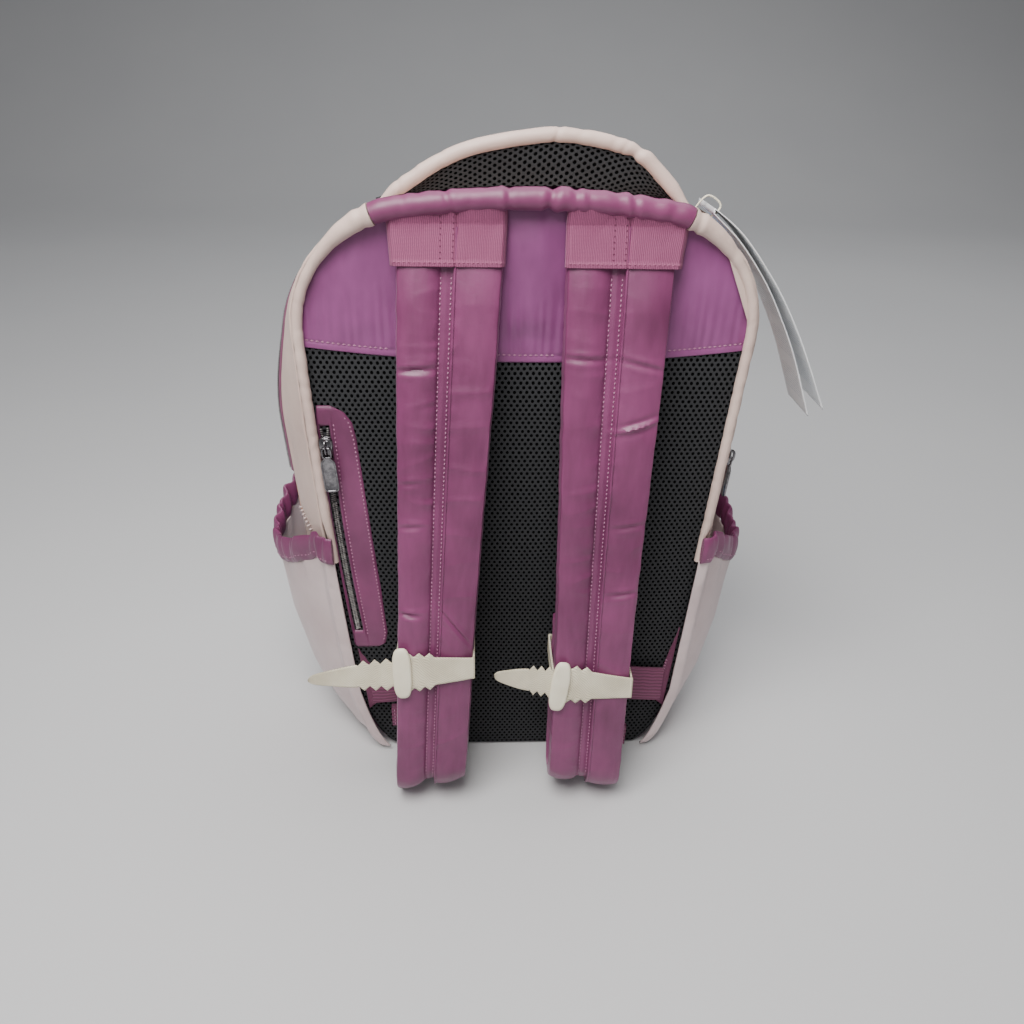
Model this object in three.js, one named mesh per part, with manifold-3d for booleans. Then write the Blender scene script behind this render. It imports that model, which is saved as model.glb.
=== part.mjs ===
// A racket backpack: a zipped main compartment with a padded back, two padded shoulder straps that are
// folded up and held by wrap ties, a flopped carrying handle, two bottle pockets, a racket pocket on the
// front and a slim zipped pocket beside the back padding.
// Millimetres, +Z up. The strap side faces -Y. The parts are drawn from the plane of the back panel, and
// the whole is then moved so that the origin is the middle of the base's underside.
import * as THREE from "three";
import { mergeVertices } from "three/addons/utils/BufferGeometryUtils.js";
import Module from "manifold-3d";

const wasm = await Module();
wasm.setup();

// ---------- driving dimensions ----------
const GAP = 0.35; // between pieces that are sewn or pressed together
const BASE_HALF = 92; // half width of the flat base
const HEEL_HALF = 123.5; // half width just above the rounded lower corners
const HEEL_Z = 62;
const SIDE_HALF = 139; // half width where the shoulder curve starts
const SHOULDER_Z = 345;
const TOP_Z = 428; // crown of the back panel
const LEFT_SPREAD = 5; // the stuffed left side also pushes the back panel this much wider
const DEPTH_BASE = 158; // depth of the compartment at the base
const DEPTH_TAPER = 0.093; // depth lost per millimetre of height
const LEFT_BULGE = 28; // how far the stuffed left side swells past the back panel
const RIGHT_BULGE = 12;
const SETTLE = 0.2; // how steeply the soft top slopes down towards the front
const EDGE_GROW = 4; // the gusset stands this far outside the back panel's outline
const SKIN = 3; // lined fabric wall
const PAD = 4; // padded panel
const OUTLINE_STEPS = 56; // steps along each half of the outline
const YOKE_Z = 341; // seam between the yoke and the mesh
const ZIP_FROM = 0.27; // share of the depth at which the main zip's tape starts
const ZIP_TO = 0.37;
const ZIP_END_Z = 236; // the main zip stops here on both sides
const STRAP_THICK = 11;
const STRAP_TOP_Z = 416;
const POCKET_BULGE = { left: 20, right: 24 }; // how far a bottle pocket stands off the side
const POCKET_DEPTH_SHARE = 0.74; // share of the side that a bottle pocket covers

// ---------- materials ----------
const finish = (color, roughness, metalness = 0) =>
  new THREE.MeshStandardMaterial({ color, roughness, metalness });
const PLUM = finish(0x7a3568, 0.45);
const GROSGRAIN = finish(0x8a3f74, 0.75);
const BLUSH = finish(0xcdb8b6, 0.6);
const SPACER_MESH = finish(0x17181a, 0.85);
const PRINT = finish(0xd9d6cf, 0.6);
const FOAM = finish(0x8d8d88, 0.95);
const BOARD = finish(0xd8d8d4, 0.6);
const GUNMETAL = finish(0x6a665c, 0.25, 1);
const COIL = finish(0x8c8a82, 0.35, 0.9);
const PLASTIC = finish(0x2a1726, 0.5);
const TIE = finish(0xe2d9bf, 0.7);
const CARD = finish(0xdedbd4, 0.8);

const bag = new THREE.Group();
bag.position.y = -DEPTH_BASE / 2;

function add(name, geometry, material) {
  const mesh = new THREE.Mesh(geometry, material);
  mesh.name = name;
  bag.add(mesh);
  return mesh;
}

const vec = (x, y, z) => new THREE.Vector3(x, y, z);
const mix = (a, b, t) => a + (b - a) * t;
const clamp01 = (t) => Math.min(1, Math.max(0, t));
const smooth = (t) => clamp01(t) ** 2 * (3 - 2 * clamp01(t));

// ---------- closed solids from grids of points ----------
function fromTriangles(points, triangles) {
  let volume = 0;
  for (const [a, b, c] of triangles) {
    volume += points[a].dot(points[b].clone().cross(points[c]));
  }
  const facing = volume > 0 ? triangles : triangles.map(([a, b, c]) => [a, c, b]);
  const geometry = new THREE.BufferGeometry().setFromPoints(points);
  geometry.setIndex(facing.flat());
  return geometry;
}

// A sheet with thickness: two matching open grids, joined round their four edges.
function sheet(outer, inner) {
  const rows = outer.length;
  const columns = outer[0].length;
  const points = [...outer.flat(), ...inner.flat()];
  const at = (side, i, j) => side * rows * columns + i * columns + j;
  const triangles = [];
  const quad = (a, b, c, d) => triangles.push([a, b, c], [a, c, d]);
  for (let i = 0; i + 1 < rows; i++) {
    for (let j = 0; j + 1 < columns; j++) {
      quad(at(0, i, j), at(0, i + 1, j), at(0, i + 1, j + 1), at(0, i, j + 1));
      quad(at(1, i, j), at(1, i, j + 1), at(1, i + 1, j + 1), at(1, i + 1, j));
    }
    quad(at(0, i, 0), at(1, i, 0), at(1, i + 1, 0), at(0, i + 1, 0));
    const last = columns - 1;
    quad(at(0, i, last), at(0, i + 1, last), at(1, i + 1, last), at(1, i, last));
  }
  for (let j = 0; j + 1 < columns; j++) {
    const last = rows - 1;
    quad(at(0, 0, j), at(0, 0, j + 1), at(1, 0, j + 1), at(1, 0, j));
    quad(at(0, last, j), at(1, last, j), at(1, last, j + 1), at(0, last, j + 1));
  }
  return fromTriangles(points, triangles);
}

// A loft through rings of equal count. An open loft ends in two flat fans.
function loft(rings, closed = false) {
  const count = rings[0].length;
  const points = rings.flat();
  const triangles = [];
  const spans = closed ? rings.length : rings.length - 1;
  for (let i = 0; i < spans; i++) {
    const a = i * count;
    const b = ((i + 1) % rings.length) * count;
    for (let j = 0; j < count; j++) {
      const k = (j + 1) % count;
      triangles.push([a + j, b + j, b + k], [a + j, b + k, a + k]);
    }
  }
  if (!closed) {
    const end = (rings.length - 1) * count;
    for (let j = 1; j + 1 < count; j++) {
      triangles.push([0, j, j + 1], [end, end + j + 1, end + j]);
    }
  }
  return fromTriangles(points, triangles);
}

// ---------- cuts and joins ----------
function toSolid(geometry) {
  const bare = geometry.clone();
  bare.deleteAttribute("normal");
  bare.deleteAttribute("uv");
  const merged = mergeVertices(bare, 1e-3);
  return new wasm.Manifold(
    new wasm.Mesh({
      numProp: 3,
      vertProperties: merged.attributes.position.array,
      triVerts: new Uint32Array(merged.index.array),
    }),
  );
}

function toGeometry(solid) {
  const mesh = solid.getMesh();
  const geometry = new THREE.BufferGeometry();
  geometry.setAttribute("position", new THREE.BufferAttribute(mesh.vertProperties, 3));
  geometry.setIndex(new THREE.BufferAttribute(mesh.triVerts, 1));
  return geometry;
}

const box = (sx, sy, sz, x = 0, y = 0, z = 0) =>
  new THREE.BoxGeometry(sx, sy, sz).translate(x, y, z);
const joined = (...parts) =>
  toGeometry(parts.map(toSolid).reduce((all, next) => all.add(next)));
const cut = (whole, ...tools) =>
  toGeometry(tools.map(toSolid).reduce((rest, tool) => rest.subtract(tool), toSolid(whole)));
const kept = (whole, tool) => toGeometry(toSolid(whole).intersect(toSolid(tool)));

// ---------- the back panel's outline and the body's skin ----------
function rightHalf() {
  const path = new THREE.Path();
  path.moveTo(0, 0);
  path.lineTo(BASE_HALF, 0);
  path.quadraticCurveTo(114, 1, HEEL_HALF, HEEL_Z);
  path.lineTo(SIDE_HALF, SHOULDER_Z);
  path.bezierCurveTo(142, 388, 116, 412, 84, 421);
  path.quadraticCurveTo(42, TOP_Z, 0, TOP_Z);
  return path.getSpacedPoints(OUTLINE_STEPS);
}

// The closed outline, anticlockwise seen from -Y with +X to the right, from the middle of the base.
const OUTLINE = (() => {
  const right = rightHalf();
  const left = right
    .slice(1, -1)
    .reverse()
    .map((p) => new THREE.Vector2(-p.x - LEFT_SPREAD * Math.sin((Math.PI * p.y) / TOP_Z), p.y));
  const points = [...right, ...left];
  const count = points.length;
  return points.map((p, i) => {
    const along = points[(i + 1) % count].clone().sub(points[(i + count - 1) % count]);
    along.normalize();
    return { x: p.x, z: p.y, nx: along.y, nz: -along.x };
  });
})();

const depthAt = (z) => DEPTH_BASE - DEPTH_TAPER * z;

// The top is soft: what lies further from the back panel sinks a little.
const settle = (p) => {
  p.z -= SETTLE * Math.max(p.y, 0) * smooth((p.z - 300) / 120);
  return p;
};

// The outline index on the right half that is nearest to a height on the side.
function indexAtHeight(z) {
  let best = 0;
  for (let i = 0; i <= OUTLINE_STEPS; i++) {
    const onSide = OUTLINE[i].x > BASE_HALF * 0.8;
    if (onSide && Math.abs(OUTLINE[i].z - z) < Math.abs(OUTLINE[best].z - z)) best = i;
  }
  return best;
}

// A point of the body's skin: station i of the outline, share t of the depth, inset millimetres inwards.
function skin(i, t, inset = 0) {
  const part = i - Math.floor(i);
  if (part > 0) return skin(Math.floor(i), t, inset).lerp(skin(Math.ceil(i), t, inset), part);
  const o = OUTLINE[((i % OUTLINE.length) + OUTLINE.length) % OUTLINE.length];
  const fade = mix(1, 0.15, smooth((o.z - 275) / 125));
  const side = (o.nx < 0 ? LEFT_BULGE : RIGHT_BULGE) * fade * o.nx ** 2;
  const onBase = clamp01(-o.nz);
  const grow = EDGE_GROW * (1 - onBase) * (1 - 0.1 * clamp01(o.nz)) + side * 4 * t * (1 - t);
  return settle(
    vec(
      o.x + o.nx * (grow - inset),
      t * depthAt(o.z),
      o.z + Math.max(o.nz, 0) * grow - o.nz * inset,
    ),
  );
}

// A strip of the skin between two stations and two shares of the depth.
function skinStrip(from, to, t0, t1, { raise = 0, thick = SKIN, across = 3, step = 2 } = {}) {
  const stations = [];
  for (let i = from; i < to; i += step) stations.push(i);
  stations.push(to);
  const layer = (inset) =>
    stations.map((i) =>
      Array.from({ length: across + 1 }, (_, j) => skin(i, mix(t0, t1, j / across), inset)),
    );
  return sheet(layer(-raise), layer(thick - raise));
}

// A flat plate inside the outline, inset by a margin, from yBack to yFront; lean follows the front's slope.
function plate(inset, yBack, yFront, lean = 0, scale = { x: 1, z: 1, lift: 0 }) {
  const ring = (y, shrink) =>
    OUTLINE.filter((_, i) => i % 2 === 0).map((o) => {
      const x = (o.x - o.nx * (inset + shrink)) * scale.x;
      const z = (o.z - o.nz * (inset + shrink)) * scale.z + scale.lift;
      return settle(vec(x, y - lean * z, z));
    });
  return loft([ring(yBack, 0.6), ring(yBack + 0.6, 0), ring(yFront - 0.6, 0), ring(yFront, 0.6)]);
}

const HALF = OUTLINE_STEPS;
const FULL = OUTLINE.length;
const heelIndex = indexAtHeight(HEEL_Z);
const zipEndIndex = indexAtHeight(ZIP_END_Z);

// ---------- back: padding, mesh, yoke ----------
const backSkin = plate(0.5, 0, PAD);
const below = box(400, 60, YOKE_Z - GAP, 0, 0, (YOKE_Z - GAP) / 2);
const above = box(400, 60, 200, 0, 0, YOKE_Z + 100);
add("back_mesh_panel", kept(backSkin, below), SPACER_MESH);
add("back_yoke", kept(backSkin, above), PLUM);
add("back_foam_pad", plate(7, PAD + GAP, 12), FOAM);
add("frame_sheet", plate(12, 12 + GAP, 14), BOARD);

// ---------- walls of the main compartment ----------
add("back_gusset", skinStrip(heelIndex, FULL - heelIndex, 0.004, ZIP_FROM - 0.004), BLUSH);
// Below the ends of the zip the front wall runs on to the seam with the back one.
const frontWall = skinStrip(heelIndex, FULL - heelIndex, ZIP_TO + 0.004, 1);
const sideSeam = (from, to) => skinStrip(from, to, ZIP_FROM, ZIP_TO + 0.012, { across: 1 });
add(
  "front_gusset",
  joined(
    frontWall,
    sideSeam(heelIndex, zipEndIndex - 0.04),
    sideSeam(FULL - zipEndIndex + 0.04, FULL - heelIndex),
  ),
  PRINT,
);
add("base_panel", skinStrip(0.05 - heelIndex, heelIndex - 0.05, 0.03, 0.965, { across: 2 }), PLUM);
const frontPlane = DEPTH_BASE - GAP;
add("front_panel", plate(3.5, frontPlane - PAD, frontPlane, DEPTH_TAPER), PRINT);

// ---------- rolled rims round the back panel ----------
// The blush rims thin out and end inside the bottle pockets.
const RIM_END_Z = 184;
function rimRing(i) {
  const o = OUTLINE[((i % FULL) + FULL) % FULL];
  const side = Math.abs(o.nx);
  const slim = mix(1.7, 3.4, smooth((o.z - RIM_END_Z - 16) / 24));
  const radius = mix(6.5, slim, smooth((side - 0.6) / 0.4));
  const offset = radius - 4 - side;
  const centre = vec(o.x + o.nx * offset, -radius - GAP, o.z + o.nz * offset);
  return Array.from({ length: 8 }, (_, k) => {
    const angle = (k / 8) * 2 * Math.PI;
    const out = radius * Math.cos(angle);
    return vec(centre.x + o.nx * out, centre.y + radius * Math.sin(angle), centre.z + o.nz * out);
  });
}

// A rim between two stations, shortened by a hair where the next one meets it.
function rim(from, to, trim = { from: 0, to: 0 }) {
  const rings = [];
  for (let i = from; i <= to; i++) rings.push(rimRing(i));
  const pull = (end, next, share) => rings[end].forEach((p, k) => p.lerp(rings[next][k], share));
  pull(0, 1, trim.from);
  pull(rings.length - 1, rings.length - 2, trim.to);
  return loft(rings);
}
const rimSeam = 8; // stations from the crown to where the plum rim meets the blush one
add("rim_top", rim(HALF - rimSeam, HALF + rimSeam, { from: 0.05, to: 0.05 }), PLUM);
const rimEnd = indexAtHeight(RIM_END_Z);
add("rim_right", rim(rimEnd, HALF - rimSeam), BLUSH);
add("rim_left", rim(HALF + rimSeam, FULL - rimEnd), BLUSH);

// ---------- zips ----------
const CHAIN_WIDTH = 6.4;
const SLIDER = { width: 8.4, length: 12, height: 3.4 };
const PULLER = { width: 10, length: 33, thick: 1.6, bar: 1.6, window: 4.6 };
const PULLER_PIVOT = { y: -4.75, z: -1.1 }; // middle of the puller's top bar, in the slider's bail

// A straight zip lies along -Z in its own frame, with its outer face towards -Y.
const chain = (length, width, thick) => box(width, thick, length, 0, -thick / 2, -length / 2);

function sliderBody() {
  const { width, length, height } = SLIDER;
  const nose = box(width, height, length, 0, -height / 2, 0);
  const waist = box(1.4, height + 2, 4, width / 2, -height / 2, -4.2);
  const post = (z) => box(2, 3.4, 1.6, 0, -height - 1.5, z);
  const bridge = box(2, 1.4, 7.6, 0, -height - 3.4, 0);
  const shaped = cut(nose, waist, waist.clone().translate(-width, 0, 0));
  return joined(shaped, post(3), post(-3), bridge);
}

// The tab hooks the bail directly: its top bar lies under the bridge, above the lower post.
function pullerTab() {
  const { width, length, thick, bar, window } = PULLER;
  const half = width / 2;
  const shape = new THREE.Shape();
  shape.moveTo(-half * 0.6, bar / 2);
  shape.lineTo(-half, -length * 0.3);
  shape.lineTo(-half, 2 - length);
  shape.quadraticCurveTo(-half, -length, 2 - half, -length);
  shape.lineTo(half - 2, -length);
  shape.quadraticCurveTo(half, -length, half, 2 - length);
  shape.lineTo(half, -length * 0.3);
  shape.lineTo(half * 0.6, bar / 2);
  const hole = (w, top, bottom) =>
    new THREE.Path([
      new THREE.Vector2(-w / 2, bottom),
      new THREE.Vector2(w / 2, bottom),
      new THREE.Vector2(w / 2, top),
      new THREE.Vector2(-w / 2, top),
    ]);
  shape.holes.push(hole(3.8, -bar / 2, -bar / 2 - window));
  shape.holes.push(hole(3.8, 5 - length, 3.2 - length));
  return new THREE.ExtrudeGeometry(shape, { depth: thick, bevelEnabled: false, curveSegments: 4 })
    .rotateX(Math.PI / 2)
    .translate(0, PULLER_PIVOT.y + thick / 2, PULLER_PIVOT.z);
}

// Adds a slider and its puller in a frame placed on the zip.
function zipPull(name, place) {
  const group = new THREE.Group();
  place(group);
  bag.add(group);
  for (const [part, geometry] of [
    ["slider", sliderBody()],
    ["puller", pullerTab()],
  ]) {
    const mesh = new THREE.Mesh(geometry, GUNMETAL);
    mesh.name = name + "_" + part;
    group.add(mesh);
  }
}

// Back pocket: a plum facing sewn on the mesh beside the left rim, with a nearly upright zip.
const BACK_ZIP = { topX: -130.8, topZ: 288, bottomX: -121.2, bottomZ: 122 };
const BACK_FACING = { thick: 1.9, face: -GAP };
const backZipTilt = Math.atan2(
  BACK_ZIP.bottomX - BACK_ZIP.topX,
  BACK_ZIP.topZ - BACK_ZIP.bottomZ,
);
const backZipLength = Math.hypot(
  BACK_ZIP.bottomX - BACK_ZIP.topX,
  BACK_ZIP.topZ - BACK_ZIP.bottomZ,
);
const onBackZip = (geometry, y) =>
  geometry
    .rotateY(-backZipTilt)
    .translate(BACK_ZIP.topX, y, BACK_ZIP.topZ);

function backFacing() {
  const shape = new THREE.Shape();
  shape.moveTo(-134.8, 303);
  shape.lineTo(-124, 302.5);
  shape.quadraticCurveTo(-111, 299, -110, 279);
  shape.lineTo(-98.8, 119);
  shape.quadraticCurveTo(-98.4, 105, -110, 104.5);
  shape.lineTo(-124.6, 106);
  shape.lineTo(-130.8, 205);
  shape.closePath();
  const facing = new THREE.ExtrudeGeometry(shape, {
    depth: BACK_FACING.thick,
    bevelEnabled: false,
    curveSegments: 6,
  })
    .rotateX(Math.PI / 2)
    .translate(0, BACK_FACING.face, 0);
  const slot = onBackZip(
    chain(backZipLength + 2 * GAP, CHAIN_WIDTH + 2 * GAP, 9).translate(0, 3, GAP),
    0,
  );
  return cut(facing, slot);
}
add("back_pocket_facing", backFacing(), PLUM);
add("back_zip_chain", onBackZip(chain(backZipLength, CHAIN_WIDTH, 1.8), -GAP), COIL);
const BACK_SLIDER_DROP = 12; // from the top stop to the closed slider's middle
zipPull("back_zip", (group) => {
  group.position.set(
    BACK_ZIP.topX + Math.sin(backZipTilt) * BACK_SLIDER_DROP,
    -2.6,
    BACK_ZIP.topZ - Math.cos(backZipTilt) * BACK_SLIDER_DROP,
  );
  group.rotation.y = -backZipTilt;
});

// Main zip: tape and chain run up one side, over the top and down the other.
const zipMiddle = (ZIP_FROM + ZIP_TO) / 2;
const zipStrip = (from, to, options) =>
  skinStrip(zipEndIndex, FULL - zipEndIndex, from, to, options);
add("main_zip_tape", zipStrip(ZIP_FROM, ZIP_TO, { across: 2, thick: 1.6 }), PLUM);
const chainShare = CHAIN_WIDTH / 2 / 132;
add(
  "main_zip_chain",
  zipStrip(zipMiddle - chainShare, zipMiddle + chainShare, {
    across: 1,
    raise: 1.9,
    thick: 1.5,
  }),
  COIL,
);

// Places a slider frame on the side wall at a height, its outer face turned away from the body.
function onSide(group, sign, z) {
  const i = indexAtHeight(z);
  const station = (k) => skin(sign > 0 ? k : FULL - k, zipMiddle, -2.6);
  const here = station(i);
  const next = station(i + 1);
  const tilt = Math.atan2(next.x - here.x, next.z - here.z);
  group.position.copy(here.clone().lerp(next, (z - here.z) / (next.z - here.z)));
  group.rotation.order = "YZX";
  group.rotation.set(0, tilt, (sign * Math.PI) / 2);
}
zipPull("main_zip", (group) => onSide(group, 1, ZIP_END_Z + 10));

// ---------- racket pocket on the front ----------
const RACKET = { x: 0.8, z: 0.78, lift: 14, deep: 24 };
function racketWall() {
  const rings = OUTLINE.filter((_, i) => i % 2 === 0).map((o) => {
    const row = (inset) =>
      [0, 0.5, 1].map((t) => {
        const x = (o.x - o.nx * (4 + inset + 6 * t * t)) * RACKET.x;
        const z = (o.z - o.nz * (4 + inset + 6 * t * t)) * RACKET.z + RACKET.lift;
        return settle(vec(x, DEPTH_BASE + GAP - DEPTH_TAPER * z + t * RACKET.deep, z));
      });
    return [...row(0), ...row(SKIN).reverse()];
  });
  return loft(rings, true);
}
add("racket_pocket_wall", racketWall(), PLUM);
const racketFace = DEPTH_BASE + RACKET.deep;
add(
  "racket_pocket_panel",
  plate(15, racketFace - 3, racketFace + 1, DEPTH_TAPER, RACKET),
  BLUSH,
);
const RACKET_ZIP = { x: 74, topZ: 300, length: 210 };
const frontLean = Math.atan(DEPTH_TAPER);
const onFront = (geometry) =>
  geometry
    .rotateZ(Math.PI)
    .rotateX(frontLean)
    .translate(
      RACKET_ZIP.x,
      racketFace + 1 + GAP - DEPTH_TAPER * RACKET_ZIP.topZ,
      RACKET_ZIP.topZ,
    );
add("racket_zip_tape", onFront(chain(RACKET_ZIP.length, 16, 1.2)), PLUM);
add(
  "racket_zip_chain",
  onFront(chain(RACKET_ZIP.length, CHAIN_WIDTH, 1.4).translate(0, -1.2 - GAP, 0)),
  COIL,
);
zipPull("racket_zip", (group) => {
  const drop = 14;
  group.position.set(
    RACKET_ZIP.x,
    racketFace + 4.8 - DEPTH_TAPER * (RACKET_ZIP.topZ - drop),
    RACKET_ZIP.topZ - drop,
  );
  group.rotation.order = "XYZ";
  group.rotation.set(frontLean, 0, Math.PI);
});

// ---------- bottle pockets ----------
// A point on a bottle pocket: share a from the side of the back panel to the front seam, height z. From
// -1 to 0 it laps round the rim on to the back panel.
function pocketPoint(sign, a, z, stand = 0) {
  const i = indexAtHeight(Math.max(z, HEEL_Z));
  const near = Math.abs(OUTLINE[sign > 0 ? i : FULL - i].x);
  const half = z < HEEL_Z ? mix(BASE_HALF + 8, near, Math.sqrt(z / HEEL_Z)) : near;
  if (a < 0) {
    const angle = (a * 85 * Math.PI) / 180;
    const out = (7.4 + stand) * Math.cos(angle);
    return vec(sign * (half - 3 + out), -GAP - 0.5 + (3.2 + stand) * Math.sin(angle), z);
  }
  const t = mix(0.02, POCKET_DEPTH_SHARE, a);
  const swell = (sign < 0 ? LEFT_BULGE : RIGHT_BULGE) * 4 * t * (1 - t);
  const bulge = sign < 0 ? POCKET_BULGE.left : POCKET_BULGE.right;
  const puff = bulge * Math.sin(Math.PI * a) ** 0.75 * Math.sqrt(clamp01((z + 4) / 110));
  return vec(sign * (half + EDGE_GROW + swell + puff + stand), t * depthAt(z), z);
}
const lapped = (count) => [-1, -0.66, -0.33, ...Array.from({ length: count + 1 }, (_, j) => j / count)];
const mouthZ = (a) => 184 - 33 * Math.sin(Math.PI * clamp01(a)) + 13 * smooth(a);
function pocketWall(sign) {
  const rows = [3, 14, 34, 70, 120, null];
  const layer = (stand) =>
    rows.map((z, r) =>
      lapped(10).map((a) => {
        const height = r === rows.length - 1 ? mouthZ(a) : mix(z, mouthZ(a) * (z / 200), clamp01(a) * 0.4);
        return pocketPoint(sign, a, height, stand);
      }),
    );
  return sheet(layer(3.4), layer(1.2));
}
function pocketCuff(sign) {
  const layer = (stand) =>
    [0.8, 11, 22].map((rise) =>
      lapped(14).map((a) => pocketPoint(sign, a, mouthZ(a), stand + 0.3).add(vec(0, 0, rise))),
    );
  return sheet(layer(4.8), layer(1.2));
}
for (const [side, sign] of [
  ["left", -1],
  ["right", 1],
]) {
  add("bottle_pocket_" + side, pocketWall(sign), BLUSH);
  add("pocket_cuff_" + side, pocketCuff(sign), PLUM);
}

// ---------- shoulder straps ----------
// Side view of a strap's middle line: down the front, round the fold and up behind.
const STRAP_LINE = new THREE.CatmullRomCurve3(
  [
    [-4.8, STRAP_TOP_Z],
    [-6.6, 405],
    [-10.5, 380],
    [-16, 340],
    [-24, 280],
    [-33, 210],
    [-42, 150],
    [-50, 95],
    [-55.5, 46],
    [-56, 29],
    [-45, 17],
    [-34, 31],
    [-30.5, 56],
    [-28, 100],
    [-25, 150],
  ].map(([y, z]) => vec(0, y, z)),
  false,
  "centripetal",
);
const STRAPS = {
  left: { sign: -1, top: -46.3, bottom: -67, slim: 0.97 },
  right: { sign: 1, top: 52.2, bottom: 48.7, slim: 1 },
};
const strapWidth = (z) => mix(55, 64, smooth((z - 120) / 280));
const strapX = (strap, z) => mix(strap.bottom, strap.top, (z - 20) / 390);
const foldSlope = 0.22; // the folded end is cut askew, lower at its outer corner

function strapPoint(strap, u, v, stand) {
  const p = STRAP_LINE.getPointAt(u);
  const along = STRAP_LINE.getTangentAt(u);
  const face = vec(0, along.z, -along.y);
  const width = strapWidth(p.z) * strap.slim;
  const askew = -strap.sign * foldSlope * v * width * (1 - smooth((p.z - 24) / 90));
  return vec(
    strapX(strap, p.z) + v * width,
    p.y + face.y * stand,
    p.z + face.z * stand + askew,
  );
}

function strapPad(strap) {
  const steps = 30;
  const layer = (side) =>
    Array.from({ length: steps + 1 }, (_, i) => {
      const u = i / steps;
      const thick = STRAP_THICK * mix(0.45, 1, smooth(u / 0.08));
      return [-0.5, -0.44, 0, 0.44, 0.5].map((v) => {
        const round = Math.abs(v) === 0.5 ? 0.45 : 1;
        return strapPoint(strap, u, v, (side * thick * round) / 2);
      });
    });
  return sheet(layer(1), layer(-1));
}

function anchorPatch(strap) {
  const layer = (extra) =>
    [0.003, 0.018, 0.037].map((u) =>
      [-0.5, 0, 0.5].map((v) => {
        const thick = STRAP_THICK * mix(0.45, 1, smooth(u / 0.08));
        return strapPoint(strap, u, v, thick / 2 + 2 * GAP + extra);
      }),
    );
  return sheet(layer(1.3), layer(0));
}

const WEB = { width: 32, thick: 1.6 };
const WING = { x: 113.5, z: 78 };

// A wrap tie: a band round the folded strap with a toothed tail, drawn through an oval head.
const TIES = {
  left: { z: 127, tilt: 0.09, tailTilt: 0.04, reach: 66 },
  right: { z: 114, tilt: -0.09, tailTilt: -0.2, reach: 48 },
};
const TIE_WALL = 1.3;
const TIE_LEAN = 0.145; // the folded strap stands further out lower down
const tieFront = (z) => -48.6 - (150 - z) * TIE_LEAN;
const tieHalf = (strap, z) => (strapWidth(z) * strap.slim) / 2 + 2.2;

function tieBand(strap, tie) {
  const half = tieHalf(strap, tie.z);
  const x = strapX(strap, tie.z);
  const corner = 4;
  const loop = (grow) => {
    const shape = new THREE.Path();
    const [x0, x1] = [x - half - grow, x + half + grow];
    const [y0, y1] = [tieFront(tie.z) - grow, -11.8 + grow];
    const r = corner + grow;
    shape.absarc(x1 - r, y0 + r, r, -Math.PI / 2, 0);
    shape.absarc(x1 - r, y1 - r, r, 0, Math.PI / 2);
    shape.absarc(x0 + r, y1 - r, r, Math.PI / 2, Math.PI);
    shape.absarc(x0 + r, y0 + r, r, Math.PI, 1.5 * Math.PI);
    return shape.getPoints(3);
  };
  const inside = loop(0);
  const outside = loop(TIE_WALL);
  const rings = outside.map((p, k) => {
    const at = (point, dz) =>
      vec(point.x, point.y + TIE_LEAN * dz, tie.z + dz + tie.tilt * (point.x - x));
    return [at(p, -15), at(p, 15), at(inside[k], 15), at(inside[k], -15)];
  });
  return loft(rings, true);
}

// Lays a flat tie shape against the band's front, its depth outwards.
function onTie(shape, strap, tie, { depth, x, stand, tilt }) {
  const across = x - strapX(strap, tie.z);
  return new THREE.ExtrudeGeometry(shape, { depth, bevelEnabled: false, curveSegments: 8 })
    .rotateX(Math.PI / 2 - Math.atan(TIE_LEAN))
    .rotateY(-tilt)
    .translate(x, tieFront(tie.z) - TIE_WALL - stand, tie.z + across * tie.tilt);
}

// The tail's outline has a row of teeth on both edges and a blunt tip.
function tieTail(strap, tie) {
  const pitch = 9;
  const teeth = Math.floor((tie.reach - 8) / pitch);
  const shape = new THREE.Shape();
  shape.moveTo(0, -13);
  for (let k = 0; k < teeth; k++) {
    const rise = mix(15, 11.5, k / teeth);
    shape.lineTo(-(k + 0.5) * pitch, -rise);
    shape.lineTo(-(k + 1) * pitch, -rise + 3.2);
  }
  shape.quadraticCurveTo(-tie.reach, -8, -tie.reach, 0);
  shape.quadraticCurveTo(-tie.reach, 8, -teeth * pitch, 8.3);
  for (let k = teeth - 1; k >= 0; k--) {
    const rise = mix(15, 11.5, k / teeth);
    shape.lineTo(-(k + 0.5) * pitch, rise);
    shape.lineTo(-k * pitch, k ? rise - 3 : 13);
  }
  const x = strapX(strap, tie.z) - tieHalf(strap, tie.z) + 6;
  return onTie(shape, strap, tie, { depth: 1.3, x, stand: -0.5, tilt: tie.tailTilt });
}

function tieHead(strap, tie) {
  const shape = new THREE.Shape();
  shape.absellipse(0, 0, 6.2, 24, 0, 2 * Math.PI);
  const x = strapX(strap, tie.z) - tieHalf(strap, tie.z) + 5;
  return onTie(shape, strap, tie, { depth: 1.8, x, stand: 1.2, tilt: tie.tailTilt });
}

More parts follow.
